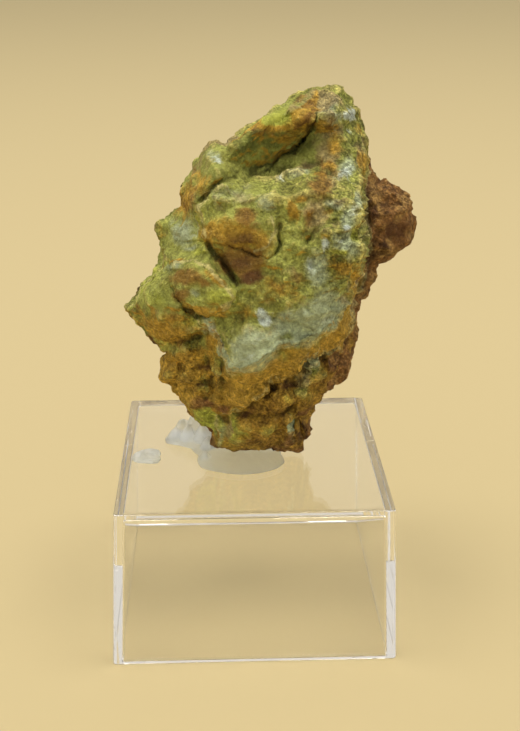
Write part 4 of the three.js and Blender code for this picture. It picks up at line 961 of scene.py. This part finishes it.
def stone_material(colours):
    """Ferrosaponite: a soft clay mineral, broken by hand, dull and finely fibrous. The eye sees moss green that
    turns pale on the bare faces, lime on the ridges, and ochre to rust where iron has stained it, all of it in
    crumbs with fine light strands over them. Painted shade darkens the crevices and cracks, painted highlight
    lightens the ridges and rims, and the crumbs, grains and strands are lit and shaded in the colour as well as
    in the bump."""
    material, tree, shader = new_material("Broken ferrosaponite clay")
    place = add_node(tree, "ShaderNodeTexCoord").outputs["Object"]
    patterns = {}
    for name, size_mm, detail, rough in STONE_PATTERNS:
        settings = {"Vector": place, "Scale": 1 / (size_mm * MM), "Detail": detail, "Roughness": rough}
        patterns[name] = add_node(tree, "ShaderNodeTexNoise", settings).outputs["Fac"]
    colour = tuple(colours.moss)
    for tint, mask, pattern, fray, low, high, most in STONE_LAYERS:
        reach = add_node(tree, "ShaderNodeAttribute", attribute_name=mask).outputs["Fac"] if mask else 0.0
        swing = add_node(tree, "ShaderNodeMath", {0: patterns[pattern], 1: 0.5}, operation="SUBTRACT").outputs[0]
        frayed = add_node(tree, "ShaderNodeMath", {0: swing, 1: fray, 2: reach}, operation="MULTIPLY_ADD").outputs[0]
        limits = {"Value": frayed, "From Min": low, "From Max": high, "To Max": most}
        share = add_node(tree, "ShaderNodeMapRange", limits, interpolation_type="SMOOTHSTEP").outputs["Result"]
        inputs = {"Factor": share, "A": colour, "B": tuple(getattr(colours, tint))}
        colour = add_node(tree, "ShaderNodeMix", inputs, data_type="RGBA").outputs["Result"]
    wobble = add_node(tree, "ShaderNodeTexNoise", {"Vector": place, "Scale": 1 / (1.4 * MM), "Detail": 2.0})
    moved = {0: wobble.outputs["Color"], 1: (1.1 * MM,) * 3, 2: place}
    moved = add_node(tree, "ShaderNodeVectorMath", moved, operation="MULTIPLY_ADD").outputs["Vector"]
    strands = {"Vector": moved, "Scale": 1 / (0.9 * MM), "Detail": 3.0, "Roughness": 0.6}
    strands = add_node(tree, "ShaderNodeTexNoise", strands, noise_type="RIDGED_MULTIFRACTAL")
    patterns["strands"] = strands.outputs["Fac"]
    flakes = {"Vector": moved, "Scale": 1 / (0.8 * MM), "Randomness": 1.0}
    patterns["flakes"] = add_node(tree, "ShaderNodeTexVoronoi", flakes).outputs["Color"]
    coarse = add_node(tree, "ShaderNodeAttribute", attribute_name="coarse").outputs["Fac"]
    # Painted light and shade: the relief's own patterns lighten and darken the colour, and the flakes vary its tone
    light = 1.0
    for pattern, low, high, dark, bright in STONE_LIGHT:
        limits = {"Value": patterns[pattern], "From Min": low, "From Max": high, "To Min": dark, "To Max": bright}
        swing = add_node(tree, "ShaderNodeMapRange", limits, interpolation_type="SMOOTHSTEP").outputs["Result"]
        share = add_node(tree, "ShaderNodeMath", {0: swing, 1: coarse, 2: 1.0}, operation="MULTIPLY_ADD").outputs[0]
        light = add_node(tree, "ShaderNodeMath", {0: light, 1: share}, operation="MULTIPLY").outputs[0]
    colour = add_node(tree, "ShaderNodeVectorMath", {0: colour, "Scale": light}, operation="SCALE").outputs["Vector"]
    relief = patterns["grains"]
    for pattern, height in (("crumbs", 2.4), ("strands", 0.7)):
        added = {0: patterns[pattern], 1: height, 2: relief}
        relief = add_node(tree, "ShaderNodeMath", added, operation="MULTIPLY_ADD").outputs[0]
    bump = add_node(tree, "ShaderNodeBump", {"Strength": 1.0, "Distance": 0.5 * MM, "Height": relief})
    tree.links.new(colour, shader.inputs["Base Color"])
    tree.links.new(bump.outputs["Normal"], shader.inputs["Normal"])
    shader.inputs["Roughness"].default_value = 0.8
    shader.inputs["IOR"].default_value = 1.5
    shader.inputs["Specular IOR Level"].default_value = 0.3
    return material


def clear_plastic_material(colours):
    """Polystyrene, injection moulded in a polished tool: water clear, glossy, with bright rounded edges."""
    material, _, shader = new_material("Clear moulded polystyrene")
    shader.inputs["Base Color"].default_value = colours.plastic
    shader.inputs["Roughness"].default_value = 0.02
    shader.inputs["IOR"].default_value = 1.49
    shader.inputs["Transmission Weight"].default_value = 1.0
    return material


def glue_material(colours):
    """Hot-melt glue, set from the nozzle: waxy, a faint veil where it is thin, cloudy white with soft highlights on
    its lumps."""
    material, tree, shader = new_material("Set hot-melt glue")
    place = add_node(tree, "ShaderNodeTexCoord").outputs["Object"]
    waves = add_node(tree, "ShaderNodeTexNoise", {"Vector": place, "Scale": 1 / (1.5 * MM), "Detail": 3.0})
    bump = {"Strength": 0.7, "Distance": 0.4 * MM, "Height": waves.outputs["Fac"]}
    bump = add_node(tree, "ShaderNodeBump", bump)
    height = add_node(tree, "ShaderNodeSeparateXYZ", {"Vector": place}).outputs["Z"]
    foot = BOX_HIGH[2] * MM
    limits = {"From Min": foot + 0.6 * MM, "From Max": foot + 2.5 * MM, "To Min": 0.9, "To Max": 0.6}
    clearness = add_node(tree, "ShaderNodeMapRange", {"Value": height, **limits}).outputs["Result"]
    tree.links.new(bump.outputs["Normal"], shader.inputs["Normal"])
    tree.links.new(clearness, shader.inputs["Transmission Weight"])
    shader.inputs["Base Color"].default_value = colours.glue
    shader.inputs["Roughness"].default_value = 0.3
    shader.inputs["IOR"].default_value = 1.2
    shader.inputs["Coat Weight"].default_value = 0.6
    shader.inputs["Coat Roughness"].default_value = 0.12
    return material


def floor_material(colours):
    """Matt cream studio paper, smooth and even, with no sheen."""
    material, _, shader = new_material("Cream studio paper")
    shader.inputs["Base Color"].default_value = colours.floor
    shader.inputs["Roughness"].default_value = 0.9
    shader.inputs["Specular IOR Level"].default_value = 0.1
    return material


def sky_world(stage):
    """A light tent: brightest from above and in front, dimmer behind and below."""
    world = bpy.data.worlds.new("Light tent")
    world.use_nodes = True
    tree = world.node_tree
    tree.nodes.clear()
    direction = add_node(tree, "ShaderNodeTexCoord").outputs["Generated"]
    towards = add_node(tree, "ShaderNodeVectorMath", {0: direction, 1: TENT_TOP}, operation="DOT_PRODUCT")
    rising = {"From Min": -0.7, "From Max": 1.0, "To Min": stage.dim, "To Max": stage.sky}
    strength = add_node(tree, "ShaderNodeMapRange", {"Value": towards.outputs["Value"], **rising}).outputs["Result"]
    light = add_node(tree, "ShaderNodeBackground", {"Color": linear(TENT_COLOUR), "Strength": strength})
    add_node(tree, "ShaderNodeOutputWorld", {"Surface": light.outputs["Background"]})
    return world


def square_ring(half, corner, z, steps):
    """A square ring with rounded corners, counterclockwise from above, round the box's middle."""
    quarter, share = np.meshgrid(np.arange(4), np.linspace(0, 1, steps + 1), indexing="ij")
    angle = np.pi / 2 * (quarter + share).ravel()
    towards = np.pi / 2 * (quarter + 0.5).ravel()
    centre = (half - corner) * np.sqrt(2)
    x = BOX_MIDDLE[0] + centre * np.cos(towards) + corner * np.cos(angle)
    y = BOX_MIDDLE[1] + centre * np.sin(towards) + corner * np.sin(angle)
    return np.stack([x, y, np.full_like(x, z)], axis=1)


def lofted(name, rings, smooth):
    """Rings of points of equal count, joined one to the next and closed by a fan at both ends."""
    count = len(rings[0])
    points = np.concatenate([*rings, [rings[0].mean(0)], [rings[-1].mean(0)]])
    k, i = np.meshgrid(np.arange(len(rings) - 1), np.arange(count), indexing="ij")
    p, q = (k * count + i).ravel(), (k * count + (i + 1) % count).ravel()
    around = np.arange(count)
    following = (around + 1) % count
    last = (len(rings) - 1) * count
    first_hub, last_hub = np.full(count, len(points) - 2), np.full(count, len(points) - 1)
    triangles = np.concatenate(
        [
            np.stack([p, q, q + count], 1),
            np.stack([p, q + count, p + count], 1),
            np.stack([first_hub, following, around], 1),
            np.stack([last_hub, last + around, last + following], 1),
        ]
    )
    return mesh_object(name, points, triangles, smooth)


def box_rings(wall, corner, edge):
    """The box's section carried round its square: up the inside, over the ceiling, then up the outside. Each
    level's half width is the foot's half width less the draft times the height, and edges are quarter rounds."""
    def outer(z):
        return BOX_FOOT_HALF - BOX_DRAFT * z

    ceiling = BOX_HEIGHT - wall
    inner_corner = max(corner - 0.2, 0.3)
    turn = np.linspace(0, np.pi / 2, 5)
    rings = []
    for angle in turn:
        inset = 2 * edge * (1 - np.sin(angle))
        rings.append((outer(ceiling) - wall - inset, inner_corner, ceiling - 2 * edge * (1 - np.cos(angle))))
    rings.append((outer(0) - wall, inner_corner, edge / 2))
    rings.append((outer(0) - wall + edge / 2, inner_corner, 0))
    for angle in turn:
        rings.append((outer(0) - edge * (1 - np.sin(angle)), corner, edge * (1 - np.cos(angle))))
    for angle in turn:
        level = BOX_HEIGHT - edge * (1 - np.sin(angle))
        rings.append((outer(level) - edge * (1 - np.cos(angle)), corner - 0.5 * edge, level))
    return [square_ring(half, radius, z + BOX_LOW[2], 8) for half, radius, z in rings]


def glue_height(x, y, spread):
    """A thin pool that thins out to its outline, with domes on it."""
    height = np.zeros_like(x)
    for dome_x, dome_y, radius, top in GLUE_DOMES:
        q = ((x - dome_x) ** 2 + (y - dome_y) ** 2) / radius**2
        height = smooth_max(height, top * (1 - q), 0.5)
    height = height + 0.9 * roughness(x, y, 1.3, 81) * step(height, 1.0, 2.6)
    pool = GLUE_THICKNESS * above(1 - spread**3) ** 0.8
    return np.maximum(height * np.sqrt(above(1 - spread**7)), pool)


def puddle_rings(outline, centre, height_at, spokes, levels):
    """A puddle's rings: its underside from the middle out, then its top from the outline in. One ring lies close to
    the outline, so that the underside is shaded as the flat face it is, and doesn't darken what shines through."""
    angle = np.linspace(-np.pi, np.pi, spokes, endpoint=False)
    reach = outline_reach(angle, outline, centre)
    rings = []
    under = [(0.5, 0), (0.98, 0), (1.0, 0)]
    over = [(x, 1) for x in np.linspace(1, 0, levels + 1)[1:-1] ** 0.7]
    for spread, lifted in under + over:
        x = centre[0] + spread * reach * np.cos(angle)
        y = centre[1] + spread * reach * np.sin(angle)
        z = BOX_HIGH[2] + AIR_GAP + lifted * (height_at(x, y, spread) - AIR_GAP)
        rings.append(np.stack([x + BOX_MIDDLE[0], y + BOX_MIDDLE[1], z], axis=1))
    return rings


def dab_height(x, y, spread):
    """A thin smear with fine drawn lines, rounded down at its outline."""
    lines = DAB_LINES * np.sin(9 * y + 1.5 * noise(x, y, 1.2, 91))
    return (DAB_THICKNESS - DAB_LINES + lines) * np.sqrt(above(1 - spread**5))


def dressed(piece, material, node):
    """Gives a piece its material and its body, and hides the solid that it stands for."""
    piece.data.materials.append(material)
    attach(piece, BODY)
    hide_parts(node)


COLOUR = {"subtype": "COLOR", "size": 4, "min": 0.0, "max": 1.0}


class SPECIMEN_PG_colours(bpy.types.PropertyGroup):
    """Colours of the stone, the box, the glue and the floor."""

    moss: bpy.props.FloatVectorProperty(
        name="Moss green", description="Green of the stone in its hollows", default=linear("#9A9A48"), **COLOUR
    )
    moss_light: bpy.props.FloatVectorProperty(
        name="Light moss", description="Green of the stone's open faces", default=linear("#B5BB5E"), **COLOUR
    )
    pale: bpy.props.FloatVectorProperty(
        name="Pale green", description="Bare grey-green faces", default=linear("#BFCCA4"), **COLOUR
    )
    lime: bpy.props.FloatVectorProperty(
        name="Lime", description="Yellow-green of the ridges", default=linear("#C0C652"), **COLOUR
    )
    ochre: bpy.props.FloatVectorProperty(
        name="Ochre", description="Iron stain on hanging faces", default=linear("#CDA53E"), **COLOUR
    )
    brown: bpy.props.FloatVectorProperty(
        name="Brown", description="Deeper iron stain", default=linear("#9A7431"), **COLOUR
    )
    rust: bpy.props.FloatVectorProperty(
        name="Rust", description="Red-brown rock at the back", default=linear("#946A38"), **COLOUR
    )
    # Colour of the painted highlight on the rims
    edge: bpy.props.FloatVectorProperty(
        name="Edge", description="Thin bright rims of the layers", default=linear("#DAD08C"), **COLOUR
    )
    # Colour of the painted highlight on the ridges
    ridge: bpy.props.FloatVectorProperty(
        name="Ridge", description="Painted highlight on the lumps' ridges", default=linear("#D4CA74"), **COLOUR
    )
    tan: bpy.props.FloatVectorProperty(
        name="Tan", description="Bare weathered clay", default=linear("#BCA872"), **COLOUR
    )
    rust_light: bpy.props.FloatVectorProperty(
        name="Light rust", description="Flakes of the red-brown rock", default=linear("#B08C50"), **COLOUR
    )
    # Umber, also used as painted shade on the knuckle's lower face, under the tongue and on the trough's wall
    umber: bpy.props.FloatVectorProperty(
        name="Umber", description="Dark knobs and facets", default=linear("#6A4628"), **COLOUR
    )
    # Deep green, partly painted shade in the trough and under the tongue
    deep: bpy.props.FloatVectorProperty(
        name="Deep green", description="Green of the trough", default=linear("#6E7430"), **COLOUR
    )
    # Colour of the specks, partly bare clay and partly painted highlight on the grains
    cream: bpy.props.FloatVectorProperty(
        name="Cream", description="Specks of bare clay and painted highlight", default=linear("#CFC78E"), **COLOUR
    )
    blue: bpy.props.FloatVectorProperty(
        name="Blue-white", description="Small bright spots", default=linear("#D6E4DE"), **COLOUR
    )
    # Colour of the painted shade in the crevices and cracks
    shade: bpy.props.FloatVectorProperty(
        name="Crevice", description="Painted shade in the cracks", default=linear("#33270F"), **COLOUR
    )
    plastic: bpy.props.FloatVectorProperty(
        name="Clear plastic", description="Tint of the box", default=linear("#FFFFFF"), **COLOUR
    )
    glue: bpy.props.FloatVectorProperty(
        name="Glue", description="Tint of the glue", default=linear("#EEF3F4"), **COLOUR
    )
    floor: bpy.props.FloatVectorProperty(
        name="Floor", description="Colour of the paper", default=linear("#BFB18A"), **COLOUR
    )


class SPECIMEN_PG_sizes(bpy.types.PropertyGroup):
    """Sizes of the box's walls, and how fine and how rough the stone is."""

    cells: bpy.props.IntProperty(
        name="Stone cells", description="Cells along each side of the stone's grid", default=127, min=8, max=128
    )
    grain: bpy.props.FloatProperty(
        name="Grain", description="How high the crumbs stand, 1 as on the real stone", default=1.0, min=0
    )
    wall: bpy.props.FloatProperty(
        name="Box wall", description="Thickness of the box's walls", default=1.6 * MM, min=0.5 * MM, unit="LENGTH"
    )
    corner: bpy.props.FloatProperty(
        name="Box corner", description="Radius of the upright edges", default=0.7 * MM, min=0.3 * MM, unit="LENGTH"
    )
    edge: bpy.props.FloatProperty(
        name="Box edge", description="Radius of the level edges", default=0.2 * MM, min=0.05 * MM, unit="LENGTH"
    )


class SPECIMEN_PG_stage(bpy.types.PropertyGroup):
    """The camera and the light."""

    lens: bpy.props.FloatProperty(name="Lens", description="Focal length", default=56.26, unit="CAMERA")
    yaw: bpy.props.FloatProperty(
        name="Yaw", description="Camera turn to the right", default=np.radians(2.35), unit="ROTATION"
    )
    pitch: bpy.props.FloatProperty(
        name="Pitch", description="Camera tilt down", default=np.radians(22.13), unit="ROTATION"
    )
    roll: bpy.props.FloatProperty(
        name="Roll", description="Camera roll", default=np.radians(0.17), unit="ROTATION"
    )
    sky: bpy.props.FloatProperty(
        name="Sky", description="Strength of the tent where it is brightest", default=0.96, min=0
    )
    dim: bpy.props.FloatProperty(name="Dim side", description="Strength of the tent behind", default=0.34, min=0)
    lamp: bpy.props.FloatProperty(
        name="Lamps", description="Power of each soft light overhead", default=6.4, min=0, unit="POWER"
    )


class SPECIMEN_OT_stone(bpy.types.Operator):
    """Build the stone"""

    bl_idname = "specimen.stone"
    bl_label = "Stone"

    def execute(self, context):
        sizes = context.scene.specimen_sizes
        points, quads, *rest = stone_shape(sizes.cells, sizes.grain)
        stone = mesh_object("Stone", points, quads, True, stone_masks(points, quads, *rest))
        dressed(stone, stone_material(context.scene.specimen_colours), "ferrosaponite_stone")
        return {"FINISHED"}


class SPECIMEN_OT_box(bpy.types.Operator):
    """Build the clear box"""

    bl_idname = "specimen.box"
    bl_label = "Clear box"

    def execute(self, context):
        sizes = context.scene.specimen_sizes
        rings = box_rings(sizes.wall / MM, sizes.corner / MM, sizes.edge / MM)
        box = lofted("Clear_box", rings, False)
        dressed(box, clear_plastic_material(context.scene.specimen_colours), "display_box")
        return {"FINISHED"}


class SPECIMEN_OT_glue(bpy.types.Operator):
    """Build the glue round the foot and the dab beside it"""

    bl_idname = "specimen.glue"
    bl_label = "Glue"

    def execute(self, context):
        material = glue_material(context.scene.specimen_colours)
        pool = lofted("Glue_bed", puddle_rings(GLUE_OUTLINE, GLUE_CENTRE, glue_height, *GLUE_GRID), True)
        dressed(pool, material, "glue_bed")
        middle = np.mean(DAB_OUTLINE, axis=0)
        dab = lofted("Glue_dab", puddle_rings(DAB_OUTLINE, middle, dab_height, *DAB_GRID), True)
        dressed(dab, material, "glue_dab")
        return {"FINISHED"}


class SPECIMEN_OT_stage(bpy.types.Operator):
    """Build the floor, the lights and the camera"""

    bl_idname = "specimen.stage"
    bl_label = "Stage"

    def execute(self, context):
        scene = context.scene
        stage = scene.specimen_stage
        corners = np.array([[-1, -1, 0], [1, -1, 0], [1, 1, 0], [-1, 1, 0]]) * FLOOR_REACH
        corners[:, 2] = -AIR_GAP
        floor = mesh_object("Floor", corners, np.array([[0, 1, 2, 3]]), False)
        floor.data.materials.append(floor_material(scene.specimen_colours))
        scene.world = sky_world(stage)
        for place in LAMP_PLACES:
            lamp = bpy.data.lights.new("Overhead lamp", "AREA")
            lamp.energy = stage.lamp
            lamp.shape = "DISK"
            lamp.size = LAMP_SIZE
            lamp.color = linear(LAMP_COLOUR)[:3]
            light = bpy.data.objects.new("Overhead lamp", lamp)
            light.location = place
            light.rotation_euler = (Vector(LAMP_TARGET) - Vector(place)).to_track_quat("-Z", "Y").to_euler()
            scene.collection.objects.link(light)
        data = bpy.data.cameras.new("Camera")
        data.lens = stage.lens
        data.clip_start = 0.01
        data.clip_end = 20
        camera = bpy.data.objects.new("Camera", data)
        place = (Vector((BOX_MIDDLE[0], BOX_MIDDLE[1], 0)) + Vector(CAMERA_PLACE)) * MM
        turned = (
            Matrix.Rotation(-stage.yaw, 4, "Z")
            @ Matrix.Rotation(np.pi / 2 - stage.pitch, 4, "X")
            @ Matrix.Rotation(stage.roll, 4, "Z")
        )
        camera.matrix_world = Matrix.Translation(place) @ turned
        scene.collection.objects.link(camera)
        scene.camera = camera
        scene.view_settings.view_transform = "Standard"
        scene.cycles.blur_glossy = 0.0
        scene.cycles.max_bounces = LIGHT_BOUNCES
        scene.cycles.glossy_bounces = LIGHT_BOUNCES
        scene.cycles.transmission_bounces = LIGHT_BOUNCES
        return {"FINISHED"}


class SPECIMEN_PT_panel(bpy.types.Panel):
    """The specimen's pieces, sizes and colours"""

    bl_idname = "SPECIMEN_PT_panel"
    bl_label = "Ferrosaponite specimen"
    bl_space_type = "VIEW_3D"
    bl_region_type = "UI"
    bl_category = "Specimen"

    def draw(self, context):
        for operator in OPERATORS:
            self.layout.operator(operator.bl_idname)
        for name in GROUPS:
            group = getattr(context.scene, name)
            for key in group.__annotations__:
                self.layout.prop(group, key)


OPERATORS = (SPECIMEN_OT_stone, SPECIMEN_OT_box, SPECIMEN_OT_glue, SPECIMEN_OT_stage)
GROUPS = {
    "specimen_colours": SPECIMEN_PG_colours,
    "specimen_sizes": SPECIMEN_PG_sizes,
    "specimen_stage": SPECIMEN_PG_stage,
}
CLASSES = (*GROUPS.values(), *OPERATORS, SPECIMEN_PT_panel)


def register():
    """Adds the classes, and the property groups to the scene."""
    for cls in CLASSES:
        bpy.utils.register_class(cls)
    for name, group in GROUPS.items():
        setattr(bpy.types.Scene, name, bpy.props.PointerProperty(type=group))


def unregister():
    """Takes off what register adds."""
    for name in GROUPS:
        delattr(bpy.types.Scene, name)
    for cls in reversed(CLASSES):
        bpy.utils.unregister_class(cls)


def main():
    """Builds the stage and the pieces."""
    register()
    bpy.ops.specimen.stage()
    bpy.ops.specimen.stone()
    bpy.ops.specimen.box()
    bpy.ops.specimen.glue()


if __name__ == "__main__":
    main()
